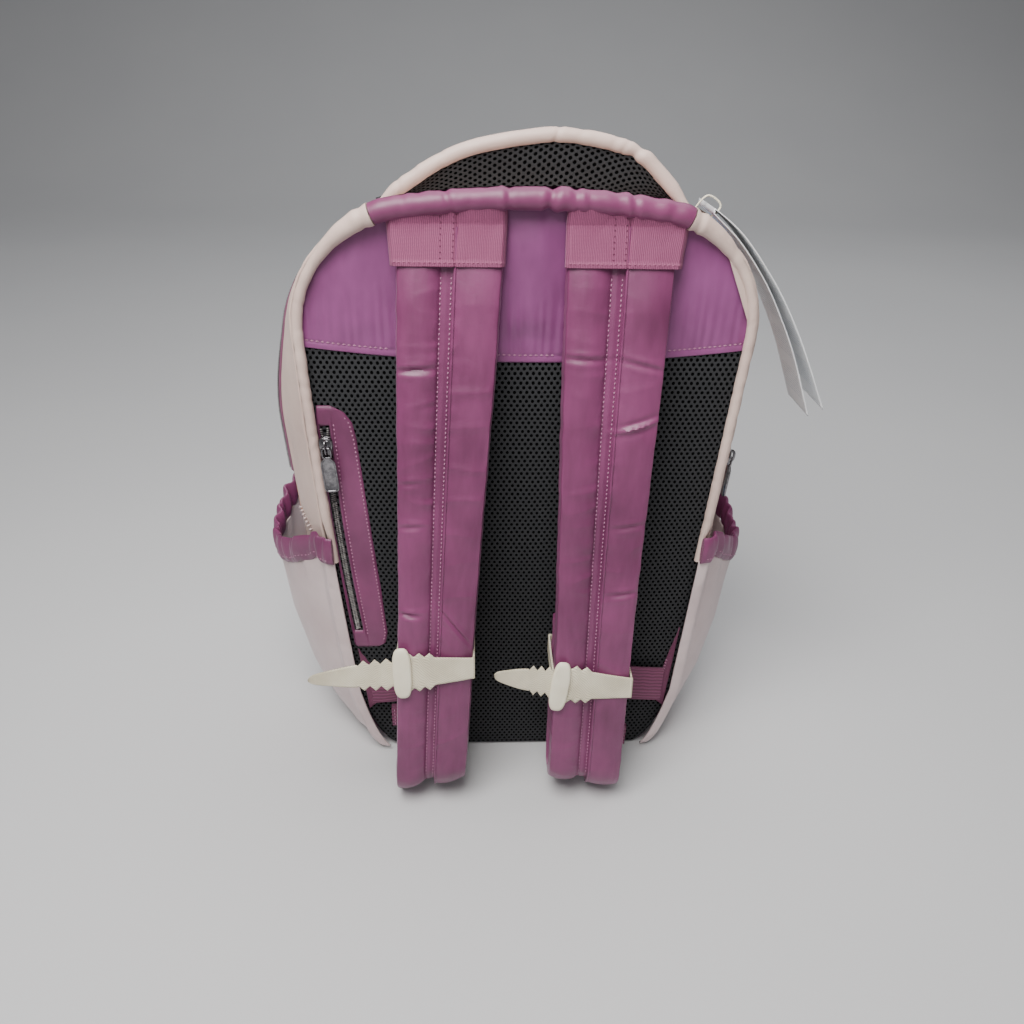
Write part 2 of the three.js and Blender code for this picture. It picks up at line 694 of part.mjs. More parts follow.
// The ladder lock hangs from the folded-up end of the pad; the webbing threads its two slots.
const LOCK = { width: 40, height: 30, thick: 4, z: 171, y: -22.5 };
function ladderLock(strap) {
  const plateShape = new THREE.Shape();
  plateShape.moveTo(-LOCK.width / 2, -LOCK.height / 2);
  plateShape.lineTo(LOCK.width / 2, -LOCK.height / 2);
  plateShape.lineTo(LOCK.width / 2, LOCK.height / 2);
  plateShape.lineTo(-LOCK.width / 2, LOCK.height / 2);
  for (const z of [-8, 0, 8]) {
    const slot = new THREE.Path();
    slot.moveTo(-17, z - 2);
    slot.lineTo(-17, z + 2);
    slot.lineTo(17, z + 2);
    slot.lineTo(17, z - 2);
    plateShape.holes.push(slot);
  }
  return new THREE.ExtrudeGeometry(plateShape, { depth: LOCK.thick, bevelEnabled: false })
    .rotateX(Math.PI / 2)
    .translate(strapX(strap, LOCK.z), LOCK.y + LOCK.thick / 2, LOCK.z);
}

// A flat band through points, its width along a given direction.
function band(points, widthAxis, width, thick, steps = 12) {
  const line = new THREE.CatmullRomCurve3(points, false, "centripetal");
  const layer = (side) =>
    Array.from({ length: steps + 1 }, (_, i) => {
      const p = line.getPointAt(i / steps);
      const face = line.getTangentAt(i / steps).cross(widthAxis).normalize();
      return [-0.5, 0.5].map((v) =>
        p
          .clone()
          .addScaledVector(widthAxis, v * width)
          .addScaledVector(face, (side * thick) / 2),
      );
    });
  return sheet(layer(1), layer(-1));
}

// From the wing on the side seam, level behind the strap.
function webbingLower(strap) {
  const x = (share) => mix(strap.sign * (WING.x - 1), strapX(strap, WING.z), share);
  return band(
    [
      vec(x(0), -4.2, WING.z - 10),
      vec(x(0.35), -7, WING.z - 7),
      vec(x(0.75), -8.6, WING.z - 2),
      vec(x(1.1), -9, WING.z),
    ],
    vec(0, 0, 1),
    WEB.width,
    WEB.thick,
    8,
  );
}

// From the fold behind the strap up to the ladder lock.
function webbingUpper(strap) {
  const x = strapX(strap, WING.z);
  const top = strapX(strap, LOCK.z);
  return band(
    [
      vec(x, -15.2, WING.z - 14),
      vec(x, -15.4, WING.z + 20),
      vec(mix(x, top, 0.7), -16, 140),
      vec(top, -17, LOCK.z - 4),
      vec(top, -17.2, LOCK.z + 11),
    ],
    vec(1, 0, 0),
    WEB.width,
    WEB.thick,
    10,
  );
}

// The hemmed free end of the webbing, tucked into the fold with its edge showing outside.
function webbingHem(strap) {
  const z = strap.sign < 0 ? 74 : 52;
  const outer = strapX(strap, z) + strap.sign * ((strapWidth(z) * strap.slim) / 2 + 4);
  return box(34, 4.6, 19, outer - strap.sign * 17, -42, z);
}

// The wing is a plum triangle sewn into the side seam; the left one stops below the zip's facing.
function wing(strap) {
  const s = strap.sign;
  const shape = new THREE.Shape();
  if (s > 0) shape.moveTo(123, 122);
  else shape.moveTo(-123, 103);
  shape.lineTo(s * 115, 88);
  shape.lineTo(s * 110, 50);
  shape.lineTo(s * 118.5, 42);
  shape.closePath();
  return new THREE.ExtrudeGeometry(shape, { depth: 1.8, bevelEnabled: false })
    .rotateX(Math.PI / 2)
    .translate(0, -GAP, 0);
}

for (const [side, strap] of Object.entries(STRAPS)) {
  const tie = TIES[side];
  add("strap_pad_" + side, strapPad(strap), PLUM);
  add("strap_anchor_" + side, anchorPatch(strap), GROSGRAIN);
  add("ladder_lock_" + side, ladderLock(strap), PLASTIC);
  add("webbing_upper_" + side, webbingUpper(strap), PLUM);
  add("webbing_lower_" + side, webbingLower(strap), PLUM);
  add("webbing_hem_" + side, webbingHem(strap), PLUM);
  add("strap_wing_" + side, wing(strap), PLUM);
  add("tie_band_" + side, joined(tieBand(strap, tie), tieTail(strap, tie)), TIE);
  add("tie_head_" + side, tieHead(strap, tie), TIE);
}

// ---------- carrying handle ----------
// Its near edge stands up above its far edge, which rests on the top, so the mesh lining faces the straps.
const HANDLE_NEAR = new THREE.CatmullRomCurve3(
  [
    [-92, 22, 424.5],
    [-77, 25, 432],
    [-53, 26, 445],
    [-30, 27, 453.5],
    [7, 28, 459.5],
    [28, 28, 459],
    [51, 28, 455],
    [66, 27, 449],
    [83, 25, 434],
    [93, 22, 422.5],
  ].map((p) => vec(...p)),
);
const HANDLE_FAR = new THREE.CatmullRomCurve3(
  [
    [-92, 32, 423],
    [-77, 33, 425.6],
    [-53, 32, 427.6],
    [-30, 32, 428.4],
    [7, 32, 429],
    [28, 32, 428.8],
    [51, 32, 428],
    [66, 32, 427],
    [83, 33, 424.6],
    [93, 32, 421.8],
  ].map((p) => vec(...p)),
);
const ROLL_RADIUS = 4.1;
const rollRadius = (u) => mix(2.4, ROLL_RADIUS, smooth(Math.min(u, 1 - u) * 14));

function handleBand() {
  const steps = 24;
  const layer = (side) =>
    Array.from({ length: steps + 1 }, (_, i) => {
      const u = i / steps;
      const near = HANDLE_NEAR.getPoint(u);
      const far = HANDLE_FAR.getPoint(u);
      const across = far.clone().sub(near);
      const width = across.length();
      across.normalize();
      const face = HANDLE_NEAR.getTangent(u).cross(across).normalize();
      const thick = mix(2.4, 5, smooth(Math.min(u, 1 - u) * 6));
      const start = rollRadius(u) + GAP + 0.7;
      return [0, 0.2, 0.8, 1].map((v) => {
        const round = v === 0 || v === 1 ? 0.5 : 1;
        return near
          .clone()
          .addScaledVector(across, mix(start, width, v))
          .addScaledVector(face, (side * thick * round) / 2);
      });
    });
  return sheet(layer(1), layer(-1));
}
add("handle_band", handleBand(), SPACER_MESH);

function handleRoll() {
  const steps = 24;
  return loft(
    Array.from({ length: steps + 1 }, (_, i) => {
      const u = i / steps;
      const centre = HANDLE_NEAR.getPoint(u);
      const along = HANDLE_NEAR.getTangent(u);
      const out = vec(0, 1, 0).cross(along).normalize();
      const side = along.clone().cross(out);
      return Array.from({ length: 8 }, (_, k) => {
        const angle = (k / 8) * 2 * Math.PI;
        return centre
          .clone()
          .addScaledVector(out, rollRadius(u) * Math.cos(angle))
          .addScaledVector(side, rollRadius(u) * Math.sin(angle));
      });
    }),
  );
}
add("handle_roll", handleRoll(), BLUSH);

// Plum patches on the top seam that hold the handle's two ends.
for (const [side, from] of [
  ["right", HALF - 10],
  ["left", HALF + 7],
]) {
  const patch = skinStrip(from, from + 3, 0.07, 0.25, { raise: 1.9, thick: 1.5, across: 1, step: 1 });
  add("handle_patch_" + side, patch, GROSGRAIN);
}

// ---------- hang tag ----------
// A blank folded card that hangs over the right shoulder from a thin loop.
const TAG = { width: 40, thick: 0.8, y: 42, eye: { x: 117.5, z: 415.2 } };
const TAG_SPANS = [
  [196, 287],
  [178, 329],
  [163, 357],
  [149, 379],
  [130, 402],
  [112.6, 417.2],
  [111.2, 419.4],
  [113, 420.8],
  [132, 406.4],
  [152.5, 383],
  [168, 361.6],
  [185, 333],
  [206, 292],
];
function foldedCard() {
  const line = new THREE.CatmullRomCurve3(
    TAG_SPANS.map(([x, z]) => vec(x, 0, z)),
    false,
    "centripetal",
  );
  const steps = 3 * (TAG_SPANS.length - 1);
  const layer = (side) =>
    Array.from({ length: steps + 1 }, (_, i) => {
      const p = line.getPoint(i / steps);
      const along = line.getTangent(i / steps);
      const face = vec(along.z, 0, -along.x).multiplyScalar((side * TAG.thick) / 2);
      return [-0.5, 0.5].map((v) => vec(p.x + face.x, v * TAG.width, p.z + face.z));
    });
  return sheet(layer(1), layer(-1));
}
const punch = new THREE.CylinderGeometry(3.4, 3.4, 12, 10)
  .rotateZ(Math.PI / 2)
  .rotateY(-Math.PI / 4)
  .translate(TAG.eye.x, 0, TAG.eye.z);
add("hang_tag", cut(foldedCard(), punch).translate(0, TAG.y, 0), CARD);
// The loop comes out of the top seam, goes up through the card's eye and back over its fold.
const loopLine = new THREE.CatmullRomCurve3(
  [
    [103.5, 411.4],
    [110.5, 412.4],
    [TAG.eye.x, TAG.eye.z],
    [120, 421],
    [111.5, 426],
    [104.5, 418.6],
  ].map(([x, z]) => vec(x, TAG.y, z)),
  true,
);
add("tag_loop", new THREE.TubeGeometry(loopLine, 24, 0.6, 6, true), TIE);

export default bag;
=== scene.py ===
"""Racket backpack: the visible model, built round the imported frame.

Lengths are in millimetres in the plane of the back panel (x to the right as the
straps are looked at, y from the panel into the bag, z up) until ``place`` turns
them into the frame's metres.
"""
import logging
import math
import random
from bisect import bisect_left
from dataclasses import dataclass, field
from enum import Enum
from typing import Callable, Iterable, Sequence

import bmesh
import bpy
from mathutils import Matrix, Vector, noise


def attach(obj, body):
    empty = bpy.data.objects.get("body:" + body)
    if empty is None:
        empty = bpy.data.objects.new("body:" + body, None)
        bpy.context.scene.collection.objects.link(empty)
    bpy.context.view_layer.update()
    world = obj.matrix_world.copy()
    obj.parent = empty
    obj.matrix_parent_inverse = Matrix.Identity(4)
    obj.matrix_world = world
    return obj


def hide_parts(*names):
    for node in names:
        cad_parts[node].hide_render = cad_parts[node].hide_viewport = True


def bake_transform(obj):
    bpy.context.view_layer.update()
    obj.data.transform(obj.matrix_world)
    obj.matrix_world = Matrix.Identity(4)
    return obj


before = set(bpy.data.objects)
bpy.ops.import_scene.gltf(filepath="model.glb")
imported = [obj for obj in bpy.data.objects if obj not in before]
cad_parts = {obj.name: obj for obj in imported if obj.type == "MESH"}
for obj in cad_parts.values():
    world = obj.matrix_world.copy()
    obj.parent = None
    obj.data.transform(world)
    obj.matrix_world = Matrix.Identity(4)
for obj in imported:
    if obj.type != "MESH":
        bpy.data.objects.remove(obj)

LOG = logging.getLogger("racket_backpack")
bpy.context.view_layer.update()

MM = 0.001
DEPTH = 158.0  # of the compartment at its base
TAPER = 0.093  # depth lost per millimetre of height
CROWN = 428.0  # top of the back panel
HEEL = 62.0  # top of the rounded lower corners
BASE_HALF = 92  # half width of the flat base
YOKE = 341.0  # seam between yoke and mesh

Triple = tuple[float, float, float]
Shape = Callable[[float, float], Triple]
Colour = tuple[float, float, float]


# ---------- small arithmetic ----------
def mix(a: float, b: float, t: float) -> float:
    """Blend two numbers: a at t = 0, b at t = 1."""
    return a + (b - a) * t


def clamp(t: float, low: float = 0.0, high: float = 1.0) -> float:
    """Hold a number between two limits."""
    return min(high, max(low, t))


def smooth(t: float) -> float:
    """Ease from 0 to 1 with level ends."""
    t = clamp(t)
    return t * t * (3 - 2 * t)


def ramp(value: float, start: float, end: float) -> float:
    """Ease from 0 at start to 1 at end."""
    return smooth((value - start) / (end - start))


def bell(value: float, middle: float, width: float) -> float:
    """Return a bump of height 1 at the middle that fades over about the width."""
    return math.exp(-(((value - middle) / width) ** 2))


def line(value: float, rows: Sequence[tuple[float, float]]) -> float:
    """Read straight lines through (position, height) rows in rising order."""
    spots = [row[0] for row in rows]
    i = int(clamp(bisect_left(spots, value), 1, len(rows) - 1))
    (a, low), (b, high) = rows[i - 1], rows[i]
    return mix(low, high, clamp((value - a) / (b - a)))


def ripple(x: float, y: float, seed: float) -> float:
    """Return smooth noise from about -1 to 1 over a plane."""
    return noise.noise(Vector((x, y, seed)))


def crease(x: float, y: float, seed: float) -> float:
    """Return noise from 0 to 1 that has narrow ridges, like pinched cloth."""
    sharp = 1 - min(1.0, 2.6 * abs(ripple(x, y, seed)))
    return sharp * sharp


def place(x: float, y: float, z: float) -> Vector:
    """Turn millimetres from the back panel's plane into the frame's metres."""
    return Vector((x * MM, (y - DEPTH / 2) * MM, z * MM))


def settle(x: float, y: float, z: float) -> Triple:
    """Let the soft top sink a little towards the front."""
    return x, y, z - 0.2 * max(y, 0) * ramp(z, 300, 420)


class Curve:
    """A smooth curve through points, read by the share of its length."""

    def __init__(self, points: Sequence[Sequence[float]], steps: int = 16) -> None:
        """Sample the curve.

        Args:
            points: the points it passes through.
            steps: samples in each span.
        """
        knots = [Vector(p) for p in points]
        first, last = 2 * knots[0] - knots[1], 2 * knots[-1] - knots[-2]
        knots = [first, *knots, last]
        self.spots: list[Vector] = []
        for a, b, c, d in zip(knots, knots[1:], knots[2:], knots[3:]):
            for k in range(steps):
                self.spots.append(self._span(a, b, c, d, k / steps))
        self.spots.append(knots[-2])
        self.marks = [0.0]
        for p, q in zip(self.spots, self.spots[1:]):
            self.marks.append(self.marks[-1] + (q - p).length)
        self.length = self.marks[-1]

    @staticmethod
    def _span(a: Vector, b: Vector, c: Vector, d: Vector, t: float) -> Vector:
        """Return a point of one Catmull-Rom span."""
        return 0.5 * (
            2 * b
            + (c - a) * t
            + (2 * a - 5 * b + 4 * c - d) * t**2
            + (3 * b - a - 3 * c + d) * t**3
        )

    def at(self, share: float) -> Vector:
        """Return the point at a share of the length."""
        mark = clamp(share) * self.length
        i = int(clamp(bisect_left(self.marks, mark), 1, len(self.spots) - 1))
        low, high = self.marks[i - 1], self.marks[i]
        return self.spots[i - 1].lerp(self.spots[i], (mark - low) / max(high - low, 1e-9))

    def along(self, share: float) -> Vector:
        """Return the unit direction at a share of the length."""
        step = 0.004
        return (self.at(share + step) - self.at(share - step)).normalized()


# ---------- the bag's outline ----------
@dataclass(frozen=True)
class Spot:
    """A point of the outline with its outward direction."""

    x: float
    z: float
    nx: float
    nz: float


class Outline:
    """The back panel's outline and the skin of the stuffed bag behind it.

    A station runs from 0 in the middle of the base up the right side to 1 at the
    crown, and down the left side to 2.
    """

    LEFT_SPREAD = 5.0
    EDGE_GROW = 4.0
    BULGE = {-1: 28.0, 1: 12.0}

    def __init__(self) -> None:
        """Sample the right half of the outline."""
        spots = [Vector((0, 0)), Vector((BASE_HALF, 0))]
        spots += self._bend([(BASE_HALF, 0), (114, 1), (123.5, HEEL)])
        spots.append(Vector((139, 345)))
        spots += self._bend([(139, 345), (142, 388), (116, 412), (84, 421)])
        spots += self._bend([(84, 421), (42, CROWN), (0, CROWN)])
        dense: list[Vector] = []
        for p, q in zip(spots, spots[1:]):
            parts = max(1, int((q - p).length))
            dense += [p.lerp(q, k / parts) for k in range(parts)]
        self.spots = [*dense, spots[-1]]
        self.marks = [0.0]
        for p, q in zip(self.spots, self.spots[1:]):
            self.marks.append(self.marks[-1] + (q - p).length)
        self.length = self.marks[-1]
        side = [p for p in self.spots if p.x >= BASE_HALF or p.y > 200]
        self.heights = [p.y for p in side]
        self.halves = [p.x for p in side]

    @staticmethod
    def _bend(points: Sequence[tuple[float, float]], parts: int = 40) -> list[Vector]:
        """Return points of a Bezier curve, without its first one."""
        row = []
        for k in range(1, parts + 1):
            level = [Vector(p) for p in points]
            while len(level) > 1:
                level = [a.lerp(b, k / parts) for a, b in zip(level, level[1:])]
            row.append(level[0])
        return row

    def _right(self, share: float) -> Vector:
        """Return the right half's point at a share of its length."""
        mark = clamp(share) * self.length
        i = int(clamp(bisect_left(self.marks, mark), 1, len(self.spots) - 1))
        low, high = self.marks[i - 1], self.marks[i]
        return self.spots[i - 1].lerp(self.spots[i], (mark - low) / max(high - low, 1e-9))

    def _plain(self, station: float) -> Vector:
        """Return the outline's point at a station."""
        station %= 2.0
        if station <= 1:
            return self._right(station).copy()
        p = self._right(2 - station)
        return Vector((-p.x - self.spread(p.y), p.y))

    def spread(self, z: float) -> float:
        """Return how much wider the stuffed left half is at a height."""
        return self.LEFT_SPREAD * math.sin(math.pi * clamp(z, 0, CROWN) / CROWN)

    def at(self, station: float) -> Spot:
        """Return the outline's point and outward direction at a station."""
        here = self._plain(station)
        step = (self._plain(station + 0.006) - self._plain(station - 0.006)).normalized()
        return Spot(here.x, here.y, step.y, -step.x)

    def half(self, z: float, sign: int = 1) -> float:
        """Return the panel's half width at a height, on one side."""
        i = int(clamp(bisect_left(self.heights, z), 1, len(self.heights) - 1))
        low, high = self.heights[i - 1], self.heights[i]
        share = clamp((z - low) / max(high - low, 1e-9))
        width = mix(self.halves[i - 1], self.halves[i], share)
        return width + (self.spread(z) if sign < 0 else 0.0)

    def top(self, x: float) -> float:
        """Return the height of the outline's upper edge at a distance from the middle."""
        if x < 0:
            x += 0.4
        low, high = 345.0, CROWN
        for _ in range(24):
            middle = (low + high) / 2
            if self.half(middle, 1 if x > 0 else -1) > abs(x):
                low = middle
            else:
                high = middle
        return low

    def station(self, z: float, sign: int) -> float:
        """Return the station of a height on one side."""
        low, high = BASE_HALF / self.length, 1.0
        for _ in range(30):
            middle = (low + high) / 2
            if self._right(middle).y < z:
                low = middle
            else:
                high = middle
        return low if sign > 0 else 2 - low

    def depth(self, z: float) -> float:
        """Return the compartment's depth at a height."""
        return DEPTH - TAPER * z

    def skin(self, station: float, t: float, stand: float = 0.0) -> Triple:
        """Return a point of the bag's outer skin.

        Args:
            station: the place round the outline.
            t: the share of the depth.
            stand: how far the point stands outside the skin.

        Returns:
            The point in millimetres.
        """
        o = self.at(station)
        side = self.BULGE[-1 if o.nx < 0 else 1] * o.nx**2 * mix(1, 0.15, ramp(o.z, 275, 400))
        grow = self.EDGE_GROW * (1 - clamp(-o.nz)) * (1 - 0.1 * clamp(o.nz))
        grow += side * 4 * t * (1 - t)
        z = o.z + max(o.nz, 0) * grow + o.nz * stand
        return settle(o.x + o.nx * (grow + stand), t * self.depth(o.z), z)


OUTLINE = Outline()


# ---------- finishes ----------
class Term:
    """A socket of a material that takes part in arithmetic."""

    def __init__(self, bench: "Bench", socket: bpy.types.NodeSocket) -> None:
        """Wrap a socket.

        Args:
            bench: the material that the socket belongs to.
            socket: an output of one of its nodes.
        """
        self.bench = bench
        self.socket = socket

    def _math(self, operation: str, *values: "Term | float") -> "Term":
        """Add a Math node."""
        inputs = dict(enumerate(values))
        return self.bench.node("ShaderNodeMath", {"operation": operation}, inputs)

    def __add__(self, other: "Term | float") -> "Term":
        """Return the sum."""
        return self._math("ADD", self, other)

    def __sub__(self, other: "Term | float") -> "Term":
        """Return the difference."""
        return self._math("SUBTRACT", self, other)

    def __rsub__(self, other: float) -> "Term":
        """Return the difference from a number."""
        return self._math("SUBTRACT", other, self)

    def __mul__(self, other: "Term | float") -> "Term":
        """Return the product."""
        return self._math("MULTIPLY", self, other)

    def __truediv__(self, other: "Term | float") -> "Term":
        """Return the quotient."""
        return self._math("DIVIDE", self, other)

    def __abs__(self) -> "Term":
        """Return the size without its sign."""
        return self._math("ABSOLUTE", self)

    __radd__ = __add__
    __rmul__ = __mul__

    def wave(self) -> "Term":
        """Return the sine."""
        return self._math("SINE", self)

    def whole(self) -> "Term":
        """Return the number rounded down."""
        return self._math("FLOOR", self)

    def part(self) -> "Term":
        """Return what is left above the number rounded down."""
        return self._math("FRACT", self)

    def root(self) -> "Term":
        """Return the square root."""
        return self._math("SQRT", self)

    def between(self, start: float, end: float) -> "Term":
        """Ease from 0 at start to 1 at end."""
        return self.bench.node(
            "ShaderNodeMapRange",
            {"interpolation_type": "SMOOTHSTEP"},
            {0: self, 1: start, 2: end, 3: 0.0, 4: 1.0},
        )


class Bench:
    """The nodes of one material, and the one way they are added."""

    def __init__(self, name: str) -> None:
        """Start a material with a bare shader.

        Args:
            name: the material's name.
        """
        self.material = bpy.data.materials.new(name)
        self.material.use_nodes = True
        self.tree = self.material.node_tree
        self.tree.nodes.clear()
        self.shader = self.tree.nodes.new("ShaderNodeBsdfPrincipled")
        output = self.tree.nodes.new("ShaderNodeOutputMaterial")
        self.tree.links.new(self.shader.outputs[0], output.inputs[0])

    def feed(self, socket: bpy.types.NodeSocket, value: object) -> None:
        """Link a term to a socket, or set the socket's own value."""
        if isinstance(value, Term):
            self.tree.links.new(value.socket, socket)
        else:
            socket.default_value = value

    def node(
        self,
        kind: str,
        settings: dict | None = None,
        inputs: dict | None = None,
        output: int | str = 0,
    ) -> Term:
        """Add a node.

        Args:
            kind: the node's type.
            settings: its properties, or "stops" for a ramp.
            inputs: values or terms by socket.
            output: the socket to go on with.

        Returns:
            The term of that output.
        """
        node = self.tree.nodes.new(kind)
        for key, value in (settings or {}).items():
            if key == "stops":
                while len(node.color_ramp.elements) < len(value):
                    node.color_ramp.elements.new(0.5)
                for element, (spot, colour) in zip(node.color_ramp.elements, value):
                    element.position, element.color = spot, (*colour, 1)
            else:
                setattr(node, key, value)
        for key, value in (inputs or {}).items():
            self.feed(node.inputs[key], value)
        return Term(self, node.outputs[output])

    def place(self) -> Term:
        """Return the point on the object, in metres."""
        return self.node("ShaderNodeTexCoord", output="Object")

    def cloth(self) -> tuple[Term, Term]:
        """Return the place across and along the cut cloth, in millimetres."""
        flat = self.node("ShaderNodeTexCoord", output="UV")
        return self.split(flat)[:2]

    def split(self, vector: Term) -> list[Term]:
        """Return a vector's three numbers."""
        node = self.tree.nodes.new("ShaderNodeSeparateXYZ")
        self.feed(node.inputs[0], vector)
        return [Term(self, socket) for socket in node.outputs]

    def join(self, *parts: "Term | float") -> Term:
        """Return the vector of up to three numbers."""
        return self.node("ShaderNodeCombineXYZ", inputs=dict(enumerate(parts)))

    def cloud(self, where: Term, scale: float, detail: float = 2.0) -> Term:
        """Return soft noise from 0 to 1."""
        inputs = {"Vector": where, "Scale": scale, "Detail": detail}
        return self.node("ShaderNodeTexNoise", inputs=inputs)

    def dye(self, share: "Term | float", first: object, second: object) -> Term:
        """Blend two colours."""
        colours = {
            key: (*value, 1.0) if isinstance(value, tuple) else value
            for key, value in ((6, first), (7, second))
        }
        settings = {"data_type": "RGBA"}
        return self.node("ShaderNodeMix", settings, {0: share, **colours}, 2)

    def relief(self, height: Term, depth: float, below: Term | None = None) -> Term:
        """Return a normal for a height from 0 to 1.

        Args:
            height: the height.
            depth: what a height of 1 stands for, in millimetres.
            below: the normal that it lies on.

        Returns:
            The normal.
        """
        inputs = {"Height": height, "Distance": depth * MM, "Strength": 1.0}
        if below:
            inputs["Normal"] = below
        return self.node("ShaderNodeBump", inputs=inputs)

    def dress(self, **sockets: object) -> bpy.types.Material:
        """Feed the shader's sockets, with _ for the spaces in their names."""
        for name, value in sockets.items():
            if isinstance(value, tuple) and len(value) == 3:
                value = (*value, 1.0)
            self.feed(self.shader.inputs[name.replace("_", " ")], value)
        return self.material


@dataclass(frozen=True)
class Finish:
    """What a surface is made of. Each kind makes its material once."""

    name: str

    def material(self) -> bpy.types.Material:
        """Return the material, made at its first use."""
        return bpy.data.materials.get(self.name) or self.make(Bench(self.name))

    def make(self, bench: Bench) -> bpy.types.Material:
        """Build the material's nodes."""
        raise NotImplementedError


@dataclass(frozen=True)
class Satin(Finish):
    """Dense twill nylon with a soft shine."""

    light: Colour
    deep: Colour
    gloss: Colour = (1.0, 0.78, 0.95)
    shine: float = 0.3
    rough: float = 0.42
    streaks: float = 0.25

    def make(self, bench: Bench) -> bpy.types.Material:
        """Build fine diagonal ribs, faint streaks and uneven dye."""
        where = bench.place()
        across, along = bench.cloth()
        twill = ((across + along) * (2 * math.pi / 0.9)).wave() * 0.5 + 0.5
        yarn = (along * (2 * math.pi / 0.55)).wave() * 0.5 + 0.5
        patches = bench.cloud(where, 16.0, 3.0)
        streaks = bench.cloud(bench.join(across * 0.12, along * 0.05), 1.0, 3.0)
        share = patches * 0.75 + streaks * self.streaks + twill * 0.07
        colour = bench.dye(share.between(0.18, 0.85), self.deep, self.light)
        rough = bench.cloud(where, 60.0) * 0.12 + (self.rough - 0.06)
        fine = bench.relief(twill * 0.7 + yarn * 0.3, 0.035)
        slack = bench.relief(bench.cloud(where, 90.0, 3.0), 0.4, fine)
        return bench.dress(
            Base_Color=colour,
            Roughness=rough,
            Normal=slack,
            Sheen_Weight=self.shine,
            Sheen_Roughness=0.35,
            Sheen_Tint=self.gloss,
        )


@dataclass(frozen=True)
class Ribbed(Finish):
    """Grosgrain with fine ribs along the cloth."""

    light: Colour
    deep: Colour
    pitch: float = 1.25

    def make(self, bench: Bench) -> bpy.types.Material:
        """Build the ribs and their crossing yarn; the colour darkens between them as painted shade.
        """
        across, along = bench.cloth()
        sway = bench.cloud(bench.join(across * 0.08, along * 0.08), 1.0) * 1.6
        rib = ((across + sway) * (2 * math.pi / self.pitch)).wave() * 0.5 + 0.5
        bite = (along * (2 * math.pi / 0.8)).wave() * 0.5 + 0.5
        knots = rib * (bite * 0.45 + 0.55)
        grain = bench.cloud(bench.join(across * 1.4, along * 0.9), 1.0, 3.0)
        # Painted shade: the colour follows the knots' height, darker between the ribs; the grain
        # adds the yarn's own uneven tone.
        colour = bench.dye((knots * 0.7 + grain * 0.45).between(0.1, 1.0), self.deep, self.light)
        return bench.dress(
            Base_Color=colour,
            Roughness=grain * 0.15 + 0.6,
            Normal=bench.relief(knots, 0.22),
            Sheen_Weight=0.15,
            Sheen_Roughness=0.5,
            Sheen_Tint=(1.0, 0.75, 0.9),
        )


@dataclass(frozen=True)
class SpacerMesh(Finish):
    """Knitted spacer mesh with staggered oval holes."""

    thread: Colour = (0.034, 0.035, 0.038)
    # Painted shade: inside the holes the same black yarn is painted far darker.
    hole_shade: Colour = (0.0012, 0.0012, 0.0013)
    pitch: float = 3.9
    row: float = 3.1

    def make(self, bench: Bench) -> bpy.types.Material:
        """Build the holes, the knitted walls between them and their fibres; the holes are painted
        near black as painted shade.
        """
        across, along = bench.cloth()
        wander = bench.cloud(bench.join(across * 0.02, along * 0.02), 1.0) * 3.0
        rows = (along + wander) / self.row
        side = rows.whole()
        shift = (side * 0.5).part()
        x = (across / self.pitch + shift).part() - 0.5
        z = rows.part() - 0.5
        reach = (x * x * 2.6 + z * z * 1.25).root()
        wall = reach.between(0.34, 0.50)
        fibre = bench.cloud(bench.join(across * 2.2, along * 3.1), 1.0, 3.0)
        # Painted shade: the colour falls to the near-black hole colour inside the holes.
        colour = bench.dye(wall * (fibre * 0.9 + 0.3), self.hole_shade, self.thread)
        relief = bench.relief(wall * 0.9 + fibre * 0.18, 1.1)
        return bench.dress(
            Base_Color=colour,
            Roughness=fibre * 0.2 + 0.62 + (1 - wall) * 0.15,
            Normal=relief,
            Specular_IOR_Level=wall * 0.3,
            Sheen_Weight=0.06,
            Sheen_Roughness=0.4,
            Sheen_Tint=(0.85, 0.9, 0.95),
        )


@dataclass(frozen=True)
class Print(Finish):
    """White nylon printed with loose blots of colour."""

    ground: Colour = (0.78, 0.77, 0.74)
    inks: tuple[Colour, ...] = ((0.05, 0.22, 0.5), (0.8, 0.26, 0.05), (0.36, 0.07, 0.04))

    def make(self, bench: Bench) -> bpy.types.Material:
        """Build one layer of blots for each ink."""
        where = bench.place()
        colour: object = self.ground
        edges = bench.cloud(where, 90.0, 4.0)
        for k, ink in enumerate(self.inks):
            moved = bench.node(
                "ShaderNodeMapping",
                inputs={"Vector": where, "Location": (0.37 * k, 0.11 * k, 0.23 * k)},
            )
            blots = bench.cloud(moved, 26.0 + 5 * k, 1.5) + edges * 0.16
            colour = bench.dye(blots.between(0.655, 0.685), colour, ink)
        across, along = bench.cloth()
        twill = ((across + along) * (2 * math.pi / 0.9)).wave() * 0.5 + 0.5
        fine = bench.relief(twill, 0.035)
        slack = bench.relief(bench.cloud(where, 90.0), 0.25, fine)
        return bench.dress(
            Base_Color=colour, Roughness=edges * 0.1 + 0.42, Normal=slack, Sheen_Weight=0.15
        )


@dataclass(frozen=True)
class Metal(Finish):
    """Plated metal with a little handling wear."""

    light: Colour
    worn: Colour
    rough: float = 0.2

    def make(self, bench: Bench) -> bpy.types.Material:
        """Build fine scratches and duller spots."""
        where = bench.place()
        smears = bench.cloud(where, 320.0, 3.0)
        scratch = bench.cloud(
            bench.join(*[p * s for p, s in zip(bench.split(where), (900, 900, 60))]), 1.0, 2.0
        )
        colour = bench.dye(smears.between(0.35, 0.75), self.worn, self.light)
        return bench.dress(
            Base_Color=colour,
            Metallic=0.95,
            Roughness=smears * 0.16 + scratch * 0.08 + (self.rough - 0.1),
            Normal=bench.relief(scratch, 0.015),
        )


